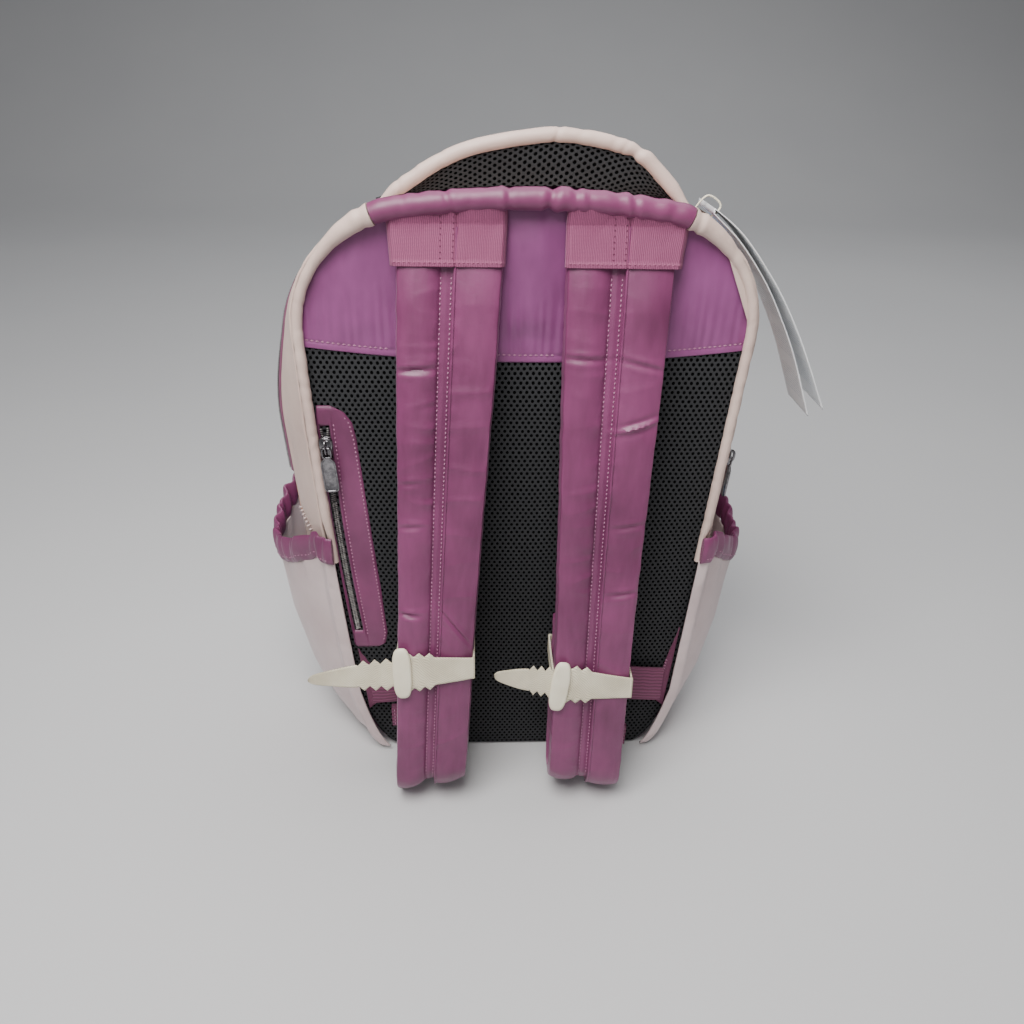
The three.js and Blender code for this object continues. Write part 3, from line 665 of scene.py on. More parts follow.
@dataclass(frozen=True)
class Moulded(Finish):
    """Moulded plastic, plain or with a diagonal hatch of fine dents."""

    light: Colour
    deep: Colour
    hatch: float = 0.0
    rough: float = 0.45

    def make(self, bench: Bench) -> bpy.types.Material:
        """Build the hatch, a grain and a faint unevenness; the hatch's dents are painted darker as
        painted shade.
        """
        where = bench.place()
        across, along = bench.cloth()
        cloud = bench.cloud(where, 55.0, 3.0)
        grain = bench.cloud(where, 1500.0, 1.0)
        height, share = grain * 0.12, cloud.between(0.25, 0.8)
        if self.hatch:
            step = 2 * math.pi / self.hatch
            first = ((across + along) * step).wave().between(0.05, 0.95)
            second = ((across - along) * step).wave().between(0.35, 0.95)
            dents = 1 - first * (1 - second * 0.45)
            height = dents * 0.9 + height
            # Painted shade: the dents pull the colour towards the deep tone; the cloud's part is
            # the plastic's own unevenness.
            share = share * 0.45 + dents * 0.55
        return bench.dress(
            Base_Color=bench.dye(share, self.deep, self.light),
            Roughness=cloud * 0.15 + self.rough - 0.07,
            Normal=bench.relief(height, 0.32),
            Subsurface_Weight=0.04,
        )


@dataclass(frozen=True)
class Card(Finish):
    """White card with faint ruled lines."""

    paper: Colour = (0.83, 0.84, 0.85)
    ink: Colour = (0.36, 0.42, 0.5)

    def make(self, bench: Bench) -> bpy.types.Material:
        """Build ruled blocks of lines and the paper's tooth."""
        across, along = bench.cloth()
        fibre = bench.cloud(bench.join(across, along), 1.2, 4.0)
        rule = ((along / 2.4).part()).between(0.6, 0.75)
        block = (along / 31.0).part().between(0.3, 0.34)
        words = bench.cloud(
            bench.join(across * 0.8, (along / 2.4).whole()), 1.0, 0.0
        ).between(0.42, 0.5)
        side = abs(across - 20.0).between(15.5, 14.0)
        colour = bench.dye(rule * block * words * side * 0.55, self.paper, self.ink)
        return bench.dress(
            Base_Color=colour, Roughness=fibre * 0.15 + 0.5, Normal=bench.relief(fibre, 0.05)
        )


@dataclass(frozen=True)
class Filling(Finish):
    """Foam or fibre board, seen only when the bag is open."""

    light: Colour
    deep: Colour
    cell: float = 900.0

    def make(self, bench: Bench) -> bpy.types.Material:
        """Build the cells."""
        cells = bench.cloud(bench.place(), self.cell, 3.0)
        return bench.dress(
            Base_Color=bench.dye(cells, self.deep, self.light),
            Roughness=cells * 0.1 + 0.8,
            Normal=bench.relief(cells, 0.3),
        )


PLUM = Satin("strap_satin", (0.235, 0.052, 0.146), (0.098, 0.018, 0.058), shine=0.10, rough=0.38)
# Painted reflection: the yoke is the same plum nylon as the straps, painted lighter and more violet
# for the bright sky that it reflects.
VIOLET_PAINTED_REFLECTION = Satin(
    "yoke_satin_painted_reflection", (0.285, 0.075, 0.225), (0.140, 0.032, 0.105), (1.0, 0.8, 1.0), 0.15, 0.38
)
RIM_PLUM = Satin("rim_satin", (0.225, 0.050, 0.135), (0.110, 0.022, 0.066), shine=0.12)
BLUSH = Satin(
    "blush_satin", (0.740, 0.580, 0.500), (0.570, 0.420, 0.370), (1, 0.9, 0.9), 0.08, 0.5, 0.12
)
LILAC = Satin(
    "pocket_satin", (0.720, 0.600, 0.590), (0.530, 0.415, 0.415), (0.98, 0.92, 1), 0.1, 0.46, 0.15
)
GROSGRAIN = Ribbed("plum_grosgrain", (0.330, 0.080, 0.180), (0.160, 0.030, 0.082), 0.95)
TRIM = Ribbed("plum_webbing", (0.230, 0.048, 0.120), (0.100, 0.016, 0.052), 1.6)
NET = SpacerMesh("knitted_net")
BLOTS = Print("blot_print")
GUNMETAL = Metal("dark_plate", (0.30, 0.29, 0.30), (0.14, 0.135, 0.145), 0.16)
COIL = Metal("zip_metal", (0.56, 0.54, 0.52), (0.32, 0.30, 0.30), 0.32)
# The hatched strip's deep tone also serves as painted shade in the hatch's dents.
TIE = Moulded("hatched_strip", (0.88, 0.80, 0.62), (0.54, 0.46, 0.31), 2.1)
TIE_SMOOTH = Moulded("plain_strip", (0.89, 0.82, 0.65), (0.80, 0.72, 0.54), 0.0, 0.4)
BUCKLE = Moulded("buckle_black", (0.035, 0.03, 0.035), (0.012, 0.01, 0.012), 0.0, 0.35)
PALE_THREAD = Ribbed("pale_thread", (0.58, 0.30, 0.43), (0.36, 0.15, 0.25), 0.5)
PLUM_THREAD = Ribbed("plum_thread", (0.46, 0.14, 0.26), (0.25, 0.06, 0.13), 0.5)
BLUSH_THREAD = Ribbed("blush_thread", (0.70, 0.58, 0.55), (0.50, 0.40, 0.38), 0.5)
PAPER = Card("tag_card")
FOAM = Filling("foam_cells", (0.11, 0.11, 0.12), (0.04, 0.04, 0.05))
BOARD = Filling("frame_board", (0.30, 0.26, 0.21), (0.16, 0.13, 0.10), 300.0)


# ---------- making pieces ----------
@dataclass(frozen=True)
class Cut:
    """How a patch of cloth is cut: its faces and its flat size in millimetres."""

    across: int
    along: int
    width: float
    length: float


@dataclass(frozen=True)
class Bead:
    """A small spindle, such as a stitch or a zip tooth, in millimetres."""

    spot: Vector
    along: Vector
    out: Vector
    size: Triple  # half sizes across, along and outwards


class Piece:
    """One piece of the bag while it is being made."""

    CORE = (0.0, 79.0, 210.0)  # a point inside the bag

    def __init__(self, name: str, body: str, slot: str, *finishes: Finish) -> None:
        """Start an empty piece.

        Args:
            name: the piece's name.
            body: the body that it moves with.
            slot: the name of a material slot; stored but not used.
            finishes: its materials, the first for most faces.
        """
        self.name, self.body, self.slot = name, body, slot
        self.finishes = finishes
        self.bm = bmesh.new()
        self.bm.loops.layers.uv.new("UVMap")

    def absorb(self, part: bmesh.types.BMesh, finish: int = 0) -> "Piece":
        """Add a finished part to the piece."""
        for face in part.faces:
            face.material_index = finish
            face.smooth = True
        scrap = bpy.data.meshes.new("scrap")
        part.to_mesh(scrap)
        part.free()
        self.bm.from_mesh(scrap)
        bpy.data.meshes.remove(scrap)
        return self

    def sew(
        self,
        cut: Cut,
        shape: Shape,
        wrap: bool = False,
        caps: bool = False,
        away: Triple | None = CORE,
        finish: int = 0,
        flat: bool = False,
        outward: bool = False,
    ) -> "Piece":
        """Add a patch whose faces look away from a point.

        Args:
            cut: its faces and flat size.
            shape: the place in millimetres for shares across and along the patch.
            wrap: whether its two long edges meet and are sewn together.
            caps: whether its open ends are closed.
            away: the point behind it, or None for a closed shape.
            finish: which of the piece's materials it has.
            flat: whether the weave runs straight across a patch of any shape.
            outward: whether a wrapped patch is open and so looks away from the point.

        Returns:
            The piece.
        """
        bm = bmesh.new()
        layer = bm.loops.layers.uv.new("UVMap")
        bmesh.ops.create_grid(
            bm, x_segments=cut.across, y_segments=cut.along, size=0.5, calc_uvs=True
        )
        for face in bm.faces:
            for loop in face.loops:
                spot = loop.vert.co
                loop[layer].uv = ((spot.x + 0.5) * cut.width, (spot.y + 0.5) * cut.length)
        for vert in bm.verts:
            vert.co = place(*shape(vert.co.x + 0.5, vert.co.y + 0.5))
        if flat:
            for face in bm.faces:
                for loop in face.loops:
                    loop[layer].uv = (loop.vert.co.x / MM, loop.vert.co.z / MM)
        if wrap:
            bmesh.ops.remove_doubles(bm, verts=bm.verts, dist=1e-6)
        if caps:
            ends = [edge for edge in bm.edges if edge.is_boundary]
            bmesh.ops.holes_fill(bm, edges=ends, sides=0)
        bm.normal_update()
        if (away is None or wrap) and not outward:
            bmesh.ops.recalc_face_normals(bm, faces=bm.faces)
        else:
            behind = place(*(away or self.CORE))
            facing = sum(
                f.normal.dot(f.calc_center_median() - behind) * f.calc_area() for f in bm.faces
            )
            if facing < 0:
                bmesh.ops.reverse_faces(bm, faces=bm.faces)
        return self.absorb(bm, finish)

    def thread(self, beads: Iterable[Bead], finish: int = 0) -> "Piece":
        """Add a row of spindles."""
        bm = bmesh.new()
        bm.loops.layers.uv.new("UVMap")
        for bead in beads:
            along = bead.along.normalized()
            across = along.cross(bead.out).normalized()
            out = across.cross(along)
            turn = Matrix((across, along, out)).transposed().to_4x4()
            size = Matrix.Diagonal((*[s * MM for s in bead.size], 1.0))
            spot = Matrix.Translation(place(*bead.spot))
            bmesh.ops.create_icosphere(bm, subdivisions=1, radius=1.0, matrix=spot @ turn @ size)
        return self.absorb(bm, finish)

    def slab(
        self,
        outline: Sequence[tuple[float, float]],
        thick: float,
        turn: Matrix,
        round_: float = 0.3,
        recess: float = 0.0,
        finish: int = 0,
    ) -> "Piece":
        """Add a flat plate cut to an outline.

        Args:
            outline: its corners across and along, in millimetres.
            thick: its thickness, centred on its plane.
            turn: where it goes, in millimetres; its outer face looks along -Y.
            round_: the radius of its edges.
            recess: how deep a sunk panel lies in its outer face.
            finish: which of the piece's materials it has.

        Returns:
            The piece.
        """
        bm = bmesh.new()
        bm.loops.layers.uv.new("UVMap")
        corners = [bm.verts.new((x, thick / 2, z)) for x, z in outline]
        face = bm.faces.new(corners)
        made = bmesh.ops.extrude_face_region(bm, geom=[face])["geom"]
        front = [item for item in made if isinstance(item, bmesh.types.BMVert)]
        bmesh.ops.translate(bm, verts=front, vec=(0, -thick, 0))
        bmesh.ops.recalc_face_normals(bm, faces=bm.faces)
        if recess:
            top = max(bm.faces, key=lambda f: -f.calc_center_median().y)
            bmesh.ops.inset_region(bm, faces=[top], thickness=1.0)
            bmesh.ops.inset_region(bm, faces=[top], thickness=0.25, depth=-recess)
        edges = [e for e in bm.edges if len(e.link_faces) == 2 and e.calc_face_angle() > 0.6]
        bmesh.ops.bevel(
            bm,
            geom=edges,
            offset=round_,
            offset_type="OFFSET",
            segments=2,
            profile=0.5,
            affect="EDGES",
            material=-1,
            clamp_overlap=True,
        )
        bmesh.ops.transform(bm, matrix=turn, verts=bm.verts)
        for vert in bm.verts:
            vert.co = place(*vert.co)
        layer = bm.loops.layers.uv.active
        for f in bm.faces:
            for loop in f.loops:
                loop[layer].uv = (loop.vert.co.x / MM, loop.vert.co.z / MM)
        return self.absorb(bm, finish)

    def tube(
        self,
        path: Callable[[float], Vector],
        radius: Callable[[float, float], float] | float,
        around: int,
        along: int,
        length: float,
        flat: float = 1.0,
        up: Triple = (0.0, -1.0, 0.0),
        loop: bool = False,
        finish: int = 0,
    ) -> "Piece":
        """Add a round or flattened tube along a path.

        Args:
            path: the middle line by share of its length.
            radius: the radius, or a function of the angle's and the length's shares.
            around: faces round it.
            along: faces along it.
            length: its length in millimetres.
            flat: how thick it is upwards as a share of its width.
            up: the direction of its flat side.
            loop: whether its ends meet.
            finish: which of the piece's materials it has.

        Returns:
            The piece.
        """
        size = radius if callable(radius) else (lambda u, v: radius)
        step = 0.5 / along
        lift = Vector(up)

        def shape(u: float, v: float) -> Triple:
            """Return the tube's surface."""
            low, high = (v - step, v + step) if loop else (max(0, v - step), min(1, v + step))
            run = (path(high) - path(low)).normalized()
            side = run.cross(lift).normalized()
            top = side.cross(run)
            angle = u * 2 * math.pi
            reach = size(u, v)
            return tuple(
                path(v) + side * (reach * math.cos(angle)) + top * (reach * flat * math.sin(angle))
            )

        mean = size(0.25, 0.5)
        cut = Cut(around, along, 2 * math.pi * mean, length)
        return self.sew(cut, shape, wrap=True, caps=not loop, away=None, finish=finish)

    def done(
        self,
        *nodes: str,
        thick: float = 0.0,
        level: int = 0,
        fill: float | None = None,
        bend: tuple[str, Triple, Triple] | None = None,
        crisp: float = 50.0,
    ) -> bpy.types.Object:
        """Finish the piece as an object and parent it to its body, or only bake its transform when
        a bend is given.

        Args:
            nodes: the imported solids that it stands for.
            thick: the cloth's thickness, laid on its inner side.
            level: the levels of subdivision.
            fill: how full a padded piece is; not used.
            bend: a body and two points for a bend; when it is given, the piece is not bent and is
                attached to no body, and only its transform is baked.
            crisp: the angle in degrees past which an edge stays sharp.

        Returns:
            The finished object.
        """
        mesh = bpy.data.meshes.new(self.name)
        self.bm.to_mesh(mesh)
        self.bm.free()
        mesh.set_sharp_from_angle(angle=math.radians(crisp))
        for finish in self.finishes:
            mesh.materials.append(finish.material())
        piece = bpy.data.objects.new(self.name, mesh)
        bpy.context.scene.collection.objects.link(piece)
        if thick:
            wall = piece.modifiers.new("cloth", "SOLIDIFY")
            wall.thickness, wall.offset = thick * MM, -1.0
        if level:
            soft = piece.modifiers.new("soft", "SUBSURF")
            soft.levels = soft.render_levels = level
        if bend:
            place(*bend[1])
            place(*bend[2])
            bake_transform(piece)
        else:
            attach(piece, self.body)
        if nodes:
            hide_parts(*nodes)
        LOG.info("%s: %d faces", self.name, len(mesh.polygons))
        return piece


def seam_stitches(
    surface: Callable[[float], Vector],
    length: float,
    out: Callable[[float], Vector] | Vector,
    pitch: float = 3.0,
    size: Triple = (0.42, 1.0, 0.36),
    zigzag: float = 0.0,
) -> list[Bead]:
    """Lay stitches along a line on the cloth.

    Args:
        surface: the line by share of its length.
        length: its length in millimetres.
        out: the direction away from the cloth, or a function of the share.
        pitch: the distance from stitch to stitch.
        size: half a stitch's width, length and height.
        zigzag: how far each second stitch leans.

    Returns:
        The stitches.
    """
    count = max(2, int(length / pitch))
    beads = []
    for k in range(count):
        share = (k + 0.5) / count
        low, high = surface(max(0, share - 0.002)), surface(min(1, share + 0.002))
        up = out(share) if callable(out) else out
        run = (high - low).normalized()
        lean = zigzag * (1 if k % 2 else -1)
        run = (run + run.cross(up) * lean).normalized()
        beads.append(Bead(surface(share), run, up, size))
    return beads


# ---------- the back ----------
@dataclass
class Back:
    """The mesh panel, the satin yoke above it, and the stiffening inside."""

    hem: float = 4.2
    puff: float = 2.6

    def mesh_point(self, u: float, v: float) -> Triple:
        """Return a point of the mesh panel."""
        z = mix(1.5, YOKE + 2, v)
        x = mix(-OUTLINE.half(z, -1) + 1, OUTLINE.half(z) - 1, u)
        edge = smooth(min(u, 1 - u) * 9) * smooth(min(v, 1 - v) * 12)
        soft = 0.55 * ripple(x / 55, z / 70, 3.0) + 0.35 * bell(x, 0, 22)
        return x, -0.5 - edge * (0.9 + soft), z

    @staticmethod
    def hem_z(x: float) -> float:
        """Return the height of the yoke's bowed hem."""
        return 332.6 + 9.0 * (x / 138) ** 2

    def yoke_point(self, u: float, v: float) -> Triple:
        """Return a point of the yoke."""
        x = mix(-139.5, 138.5, u)
        low_edge = self.hem_z(x)
        top = max(OUTLINE.top(x) + 1.5, low_edge + 4)
        z = mix(low_edge, top, v)
        between = bell(x, -1, 15) * ramp(z, 345, 362)
        flank = (bell(x, -104, 17) + bell(x, 106, 17)) * ramp(z, 343, 360) * 0.55
        drop = 1 - 0.75 * ramp(z, top - 26, top - 4)
        y = -1.25 - self.puff * (between + flank) * drop
        low = 1 - ramp(z, 352, 392)
        gathers = math.sin(
            (x + 2.2 * ripple(x / 9, z / 60, 1.0)) * 1.02
        ) * (0.55 + 0.4 * ripple(x / 14, 0, 8.0))
        y -= 0.42 * gathers * low * ramp(z, low_edge + 3, low_edge + 7)
        y -= 0.75 * ripple(x / 17, z / 46, 12.0) * ramp(z, low_edge + 6, 375)
        y += 1.1 * bell(x, 9, 6) * bell(z, top - 7, 7) + 0.8 * bell(x, -15, 5) * bell(
            z, top - 16, 9
        )
        y += 0.5 * bell(z, low_edge + self.hem, 0.9)
        return x, y, z

    def build(self) -> None:
        """Sew the panel and the yoke, and dress what lies inside."""
        panel = Piece("back_mesh", "bag", "spacer_mesh", NET)
        panel.sew(Cut(150, 180, 280, 340), self.mesh_point, flat=True)
        panel.done("back_mesh_panel", thick=2.6, fill=0.35)

        # The yoke's colour carries a painted reflection of the sky.
        yoke = Piece("yoke", "bag", "plum_nylon", VIOLET_PAINTED_REFLECTION, PALE_THREAD)
        yoke.sew(Cut(340, 90, 278, 78), self.yoke_point, flat=True)
        for first, last in ((-137.5, -86), (-20, 17), (84, 137.5)):

            def seam(share: float, first: float = first, last: float = last) -> Vector:
                """Return the hem's seam between two straps."""
                x = mix(first, last, share)
                v = (self.hem + 0.4) / (
                    max(OUTLINE.top(x) + 1.5, self.hem_z(x) + 4) - self.hem_z(x)
                )
                return Vector(self.yoke_point((x + 139.5) / 278, v)) + Vector((0, -0.15, 0))

            beads = seam_stitches(seam, last - first, Vector((0, -1, 0)), 3.1, (0.45, 1.15, 0.4))
            yoke.thread(beads, 1)
        yoke.done("back_yoke", thick=1.2, fill=0.4)
        for node, finish in (("back_foam_pad", FOAM), ("frame_sheet", BOARD)):
            dress_node(node, finish)


def dress_node(name: str, finish: Finish) -> None:
    """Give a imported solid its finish."""
    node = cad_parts[name]
    node.data.materials.clear()
    node.data.materials.append(finish.material())


@dataclass
class Rims:
    """The rolled rims round the back panel, plum on top and blush down the sides."""

    seam: float = 8 / 56  # stations from the crown to the change of colour

    def centre(self, station: float) -> Vector:
        """Return the rim's middle."""
        o, size = OUTLINE.at(station), self.size(station)
        offset = size - 4 - abs(o.nx)
        return Vector((o.x + o.nx * offset, -size - 0.4, o.z + o.nz * offset))

    @staticmethod
    def size(station: float) -> float:
        """Return the rim's radius."""
        o = OUTLINE.at(station)
        return mix(6.3, mix(2.3, 3.3, ramp(o.z, 200, 224)), ramp(abs(o.nx), 0.25, 0.85))

    def roll(
        self, name: str, first: float, last: float, finish: Finish, slot: str,
        pinches: list[float], seed: int,
    ) -> None:
        """Sew one rolled rim.

        Args:
            name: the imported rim.
            first: the station where it starts.
            last: the station where it ends.
            finish: its cloth.
            slot: its material slot.
            pinches: shares of its length where the cloth is pinched hard.
            seed: what its small puckers grow from.
        """
        length = abs(last - first) * OUTLINE.length
        rng = random.Random(seed)
        pinch = [
            (
                spot, rng.uniform(0.10, 0.17), rng.uniform(-1.6, 1.6), rng.uniform(1.2, 1.9)
            ) for spot in pinches
        ]
        spot = rng.uniform(6, 12)
        while spot < length - 6:
            pinch.append(
                (spot / length, rng.uniform(0.025, 0.08), rng.uniform(-3, 3), rng.uniform(1.2, 3.2))
            )
            spot += rng.uniform(9, 21)

        def radius(u: float, v: float) -> float:
            """Return the puckered radius."""
            angle = 2 * math.pi * u
            here = v * length
            size = self.size(mix(first, last, v))
            swell = 1 + 0.045 * ripple(
                here / 16, math.cos(angle) * 0.8, seed
            ) + 0.03 * ripple(here / 6, u * 5, seed + 2.0)
            for at, depth, slant, width in pinch:
                away = here - at * length + slant * math.cos(angle)
                if abs(away) < 12:
                    swell -= depth * bell(away, 0, width)
                    swell += depth * 0.45 * (
                        bell(away, 2.6 * width, width) + bell(away, -2.6 * width, width)
                    )
            return size * swell

        rim = Piece(name + "_roll", "bag", slot, finish)
        rim.tube(lambda v: self.centre(mix(first, last, v)), radius, 28, int(length / 1.5), length)
        rim.done(name, fill=0.7)

    def build(self) -> None:
        """Sew all three rims."""
        low = OUTLINE.station(184, 1)
        top = [clamp((0.5 - x / 184)) for x in (58, 25, 10, -14, -48)]
        self.roll(
            "rim_top", 1 - self.seam + 0.001, 1 + self.seam - 0.001, RIM_PLUM, "plum_nylon", top, 4
        )
        self.roll("rim_right", low, 1 - self.seam, BLUSH, "blush_nylon", [0.985], 9)
        self.roll("rim_left", 1 + self.seam, 2 - low, BLUSH, "blush_nylon", [0.02], 14)


# ---------- the walls ----------
@dataclass
class Walls:
    """The gussets, the base and the front of the main compartment."""

    zip_end: float = 236.0

    def strip(
        self, u: float, v: float, first: float, last: float, t0: float, t1: float, depth: float,
        seed: float,
    ) -> Triple:
        """Return a point of a softly dented strip of the skin."""
        station, t = mix(first, last, v), mix(t0, t1, u)
        here = station * OUTLINE.length
        inner = smooth(min(u, 1 - u) * 6)
        dent = depth * (ripple(here / 34, t * 2.6, seed) - 0.5) * inner
        pull = 0.5 * crease(here / 19, t * 1.3, seed + 5) * (1 - smooth(u * 4))
        return OUTLINE.skin(station, t, dent - pull - 0.1)

    def build(self) -> None:
        """Sew every wall."""
        heel = OUTLINE.station(HEEL, 1)
        gusset = Piece("gusset_back", "bag", "blush_nylon", BLUSH, BLUSH_THREAD)
        length = (2 - 2 * heel) * OUTLINE.length

        def back(u: float, v: float) -> Triple:
            """Return a point of the gusset behind the rim."""
            x, y, z = self.strip(u, v, heel, 2 - heel, 0.004, 0.266, 1.6, 21.0)
            groove = 0.7 * bell(z, 187 + 70 * mix(0.004, 0.266, u), 1.3)
            return x - math.copysign(groove, x), y, z

        gusset.sew(Cut(30, 520, 38, length), back)
        for sign in (-1, 1):

            def across(share: float, sign: int = sign) -> Vector:
                """Return the side seam above the bottle pocket."""
                t = mix(0.03, 0.26, share)
                station = OUTLINE.station(190 + 70 * t, sign)
                return Vector(OUTLINE.skin(station, t, 0.3))

            gusset.thread(seam_stitches(across, 34, Vector((sign, 0, 0)), 3.0), 1)
        gusset.done("back_gusset", thick=2.0)

        front = Piece("gusset_front", "bag", "printed_nylon", BLOTS, BLUSH_THREAD)
        front.sew(
            Cut(56, 420, 92, length),
            lambda u, v: self.strip(u, v, heel, 2 - heel, 0.378, 0.999, 1.8, 33.0),
        )
        end = OUTLINE.station(self.zip_end, 1)
        for first, last in ((heel, end - 0.002), (2 - end + 0.002, 2 - heel)):
            front.sew(
                Cut(12, 130, 16, 206),
                lambda u, v, first=first, last=last: self.strip(
                    u, v, first, last, 0.27, 0.379, 0.4, 40.0
                ),
            )
        front.done("front_gusset", thick=2.0)

        base = Piece("base", "bag", "plum_nylon", PLUM)
        base.sew(
            Cut(70, 170, 150, 260),
            lambda u, v: OUTLINE.skin(
                mix(-heel + 0.001, heel - 0.001, v), mix(0.03, 0.965, u),
                -0.4 - 0.3 * ripple(u * 6, v * 9, 2),
            ),
        )
        base.done("base_panel", thick=1.8)

        panel = Piece("front_face", "bag", "printed_nylon", BLOTS)

        def face(u: float, v: float) -> Triple:
            """Return a point of the front panel."""
            o = OUTLINE.at(2 * u)
            x, z = (o.x - 3.5 * o.nx) * v, 210 + (o.z - 3.5 * o.nz - 210) * v
            edge = 1 - smooth((v - 0.9) * 10)
            return settle(
                x, DEPTH - 0.6 - TAPER * z - edge * 0.5 * (1 + ripple(x / 40, z / 40, 7)), z
            )

        panel.sew(Cut(150, 60, 800, 210), face, wrap=True, away=None, flat=True, outward=True)
        panel.done("front_panel", thick=3.0)


# ---------- zips ----------
def zip_teeth(
    piece: Piece,
    path: Callable[[float], Vector],
    out: Callable[[float], Vector],
    length: float,
    pitch: float = 1.5,
    width: float = 5.6,
    finish: int = 0,
    split: float = 0.0,
) -> None:
    """Add two rows of interlocked teeth.

    Args:
        piece: what they belong to.
        path: the chain's middle by share of its length.
        out: the direction away from the cloth by share.
        length: the chain's length in millimetres.
        pitch: the distance between teeth.
        width: the chain's width.
        finish: which of the piece's materials they have.
        split: the share of the length, from the start, over which the rows part.
    """
    count = int(length / pitch)
    beads = []
    for k in range(count):
        for side in (-1, 1):
            share = (k + 0.5 + side * 0.25) / count
            low, high = path(max(0, share - 0.003)), path(min(1, share + 0.003))
            along = (high - low).normalized()
            up = out(share).normalized()
            across = along.cross(up)
            open_ = 1.4 * smooth(1 - share / split) if split else 0.0
            spot = path(share) + across * side * (width * 0.21 + open_)
            beads.append(Bead(spot, along, up, (width * 0.29, pitch * 0.30, 0.85)))
    piece.thread(beads, finish)


@dataclass
class ZipPull:
    """A zip slider with its bail, and the tab that hangs from it."""

    name: str
    turn: Matrix  # the slider's frame in millimetres: -Y outwards, -Z down the zip
    tab: float = 31.5

    SHIELD = (
        (-1.5, 6.0), (1.5, 6.0), (3.5, 5.2), (4.2, 3.2), (4.2, -0.6), (3.3, -3.4), (3.3, -6.0),
        (-3.3, -6.0), (-3.3, -3.4), (-4.2, -0.6), (-4.2, 3.2), (-3.5, 5.2),
    )

    def at(self, *spot: float) -> Vector:
        """Return a point of the slider's frame in the bag's."""
        return self.turn @ Vector(spot)

    def out(self) -> Vector:
        """Return the direction away from the cloth."""
        return self.turn.to_3x3() @ Vector((0, -1, 0))

    def plate(self, scale: float = 1.0) -> list[tuple[float, float]]:
        """Return the shield's outline at a scale."""
        return [(x * scale, z * scale) for x, z in self.SHIELD]

    def build(self) -> None:
        """Make the slider and the tab."""
        slider = Piece(self.name + "_slider_body", self.name + "_slider", "gunmetal", GUNMETAL)
        for y, thick, scale in ((-0.55, 0.9, 1.0), (-2.75, 1.1, 1.0), (-3.35, 0.5, 0.72)):
            slider.slab(
                self.plate(scale), thick, self.turn @ Matrix.Translation((0, y, 0)), 0.28
            )
        wedge = [(-1.4, 5.2), (1.4, 5.2), (1.0, 0.5), (-1.0, 0.5)]
        slider.slab(wedge, 1.7, self.turn @ Matrix.Translation((0, -1.6, 0)), 0.2)
        for side in (-1, 1):
            rail = [
                (side * 3.1, 0.6), (side * 4.1, 0.2), (side * 3.2, -3.4), (side * 3.2, -5.8),
                (side * 2.6, -5.8), (side * 2.6, -3),
            ]
            slider.slab(
                rail if side < 0 else rail[::-1], 1.2,
                self.turn @ Matrix.Translation((0, -1.9, 0)), 0.12,
            )
        arch = Curve(
            [
                (0, -3.2, 4.5), (0, -5.0, 4.3), (0, -6.5, 2.6), (0, -6.8, 0), (0, -6.5, -2.6),
                (0, -5.0, -4.3), (0, -3.2, -4.5),
            ]
        )
        slider.tube(
            lambda v: self.at(*arch.at(v)), 1.05, 12, 26, arch.length,
            up=tuple(self.at(1, 0, 0) - self.at(0, 0, 0)), flat=0.62,
        )
        slider.done(self.name + "_slider")

        puller = Piece(self.name + "_tab", self.name + "_puller", "gunmetal", GUNMETAL)
        half, top, low = 2.75, -0.6, -7.4
        loop = [
            (0, -4.75, top), (half * 0.75, -4.75, top - 0.25), (half, -4.75, top - 1.6),
            (half, -4.75, low + 1.6), (half * 0.75, -4.75, low + 0.3), (0, -4.75, low),
            (-half * 0.75, -4.75, low + 0.3), (-half, -4.75, low + 1.6), (-half, -4.75, top - 1.6),
            (-half * 0.75, -4.75, top - 0.25), (0, -4.75, top),
        ]
        ring = Curve(loop)
        puller.tube(
            lambda v: self.at(*ring.at(v % 1)), 0.78, 10, 60, ring.length, up=tuple(self.out()),
            loop=True,
        )
        end = -1.1 - self.tab
        plate = [
            (-1.9, -6.6), (1.9, -6.6), (3.0, -8.2), (4.6, -10.2), (5.0, -13), (5.0, end + 2.6),
            (4.2, end + 0.8), (2.4, end), (-2.4, end), (-4.2, end + 0.8), (-5.0, end + 2.6),
            (-5.0, -13), (-4.6, -10.2), (-3.0, -8.2),
        ]
        puller.slab(plate, 1.7, self.turn @ Matrix.Translation((0, -4.75, 0)), 0.32, recess=0.45)
        puller.done(self.name + "_puller")


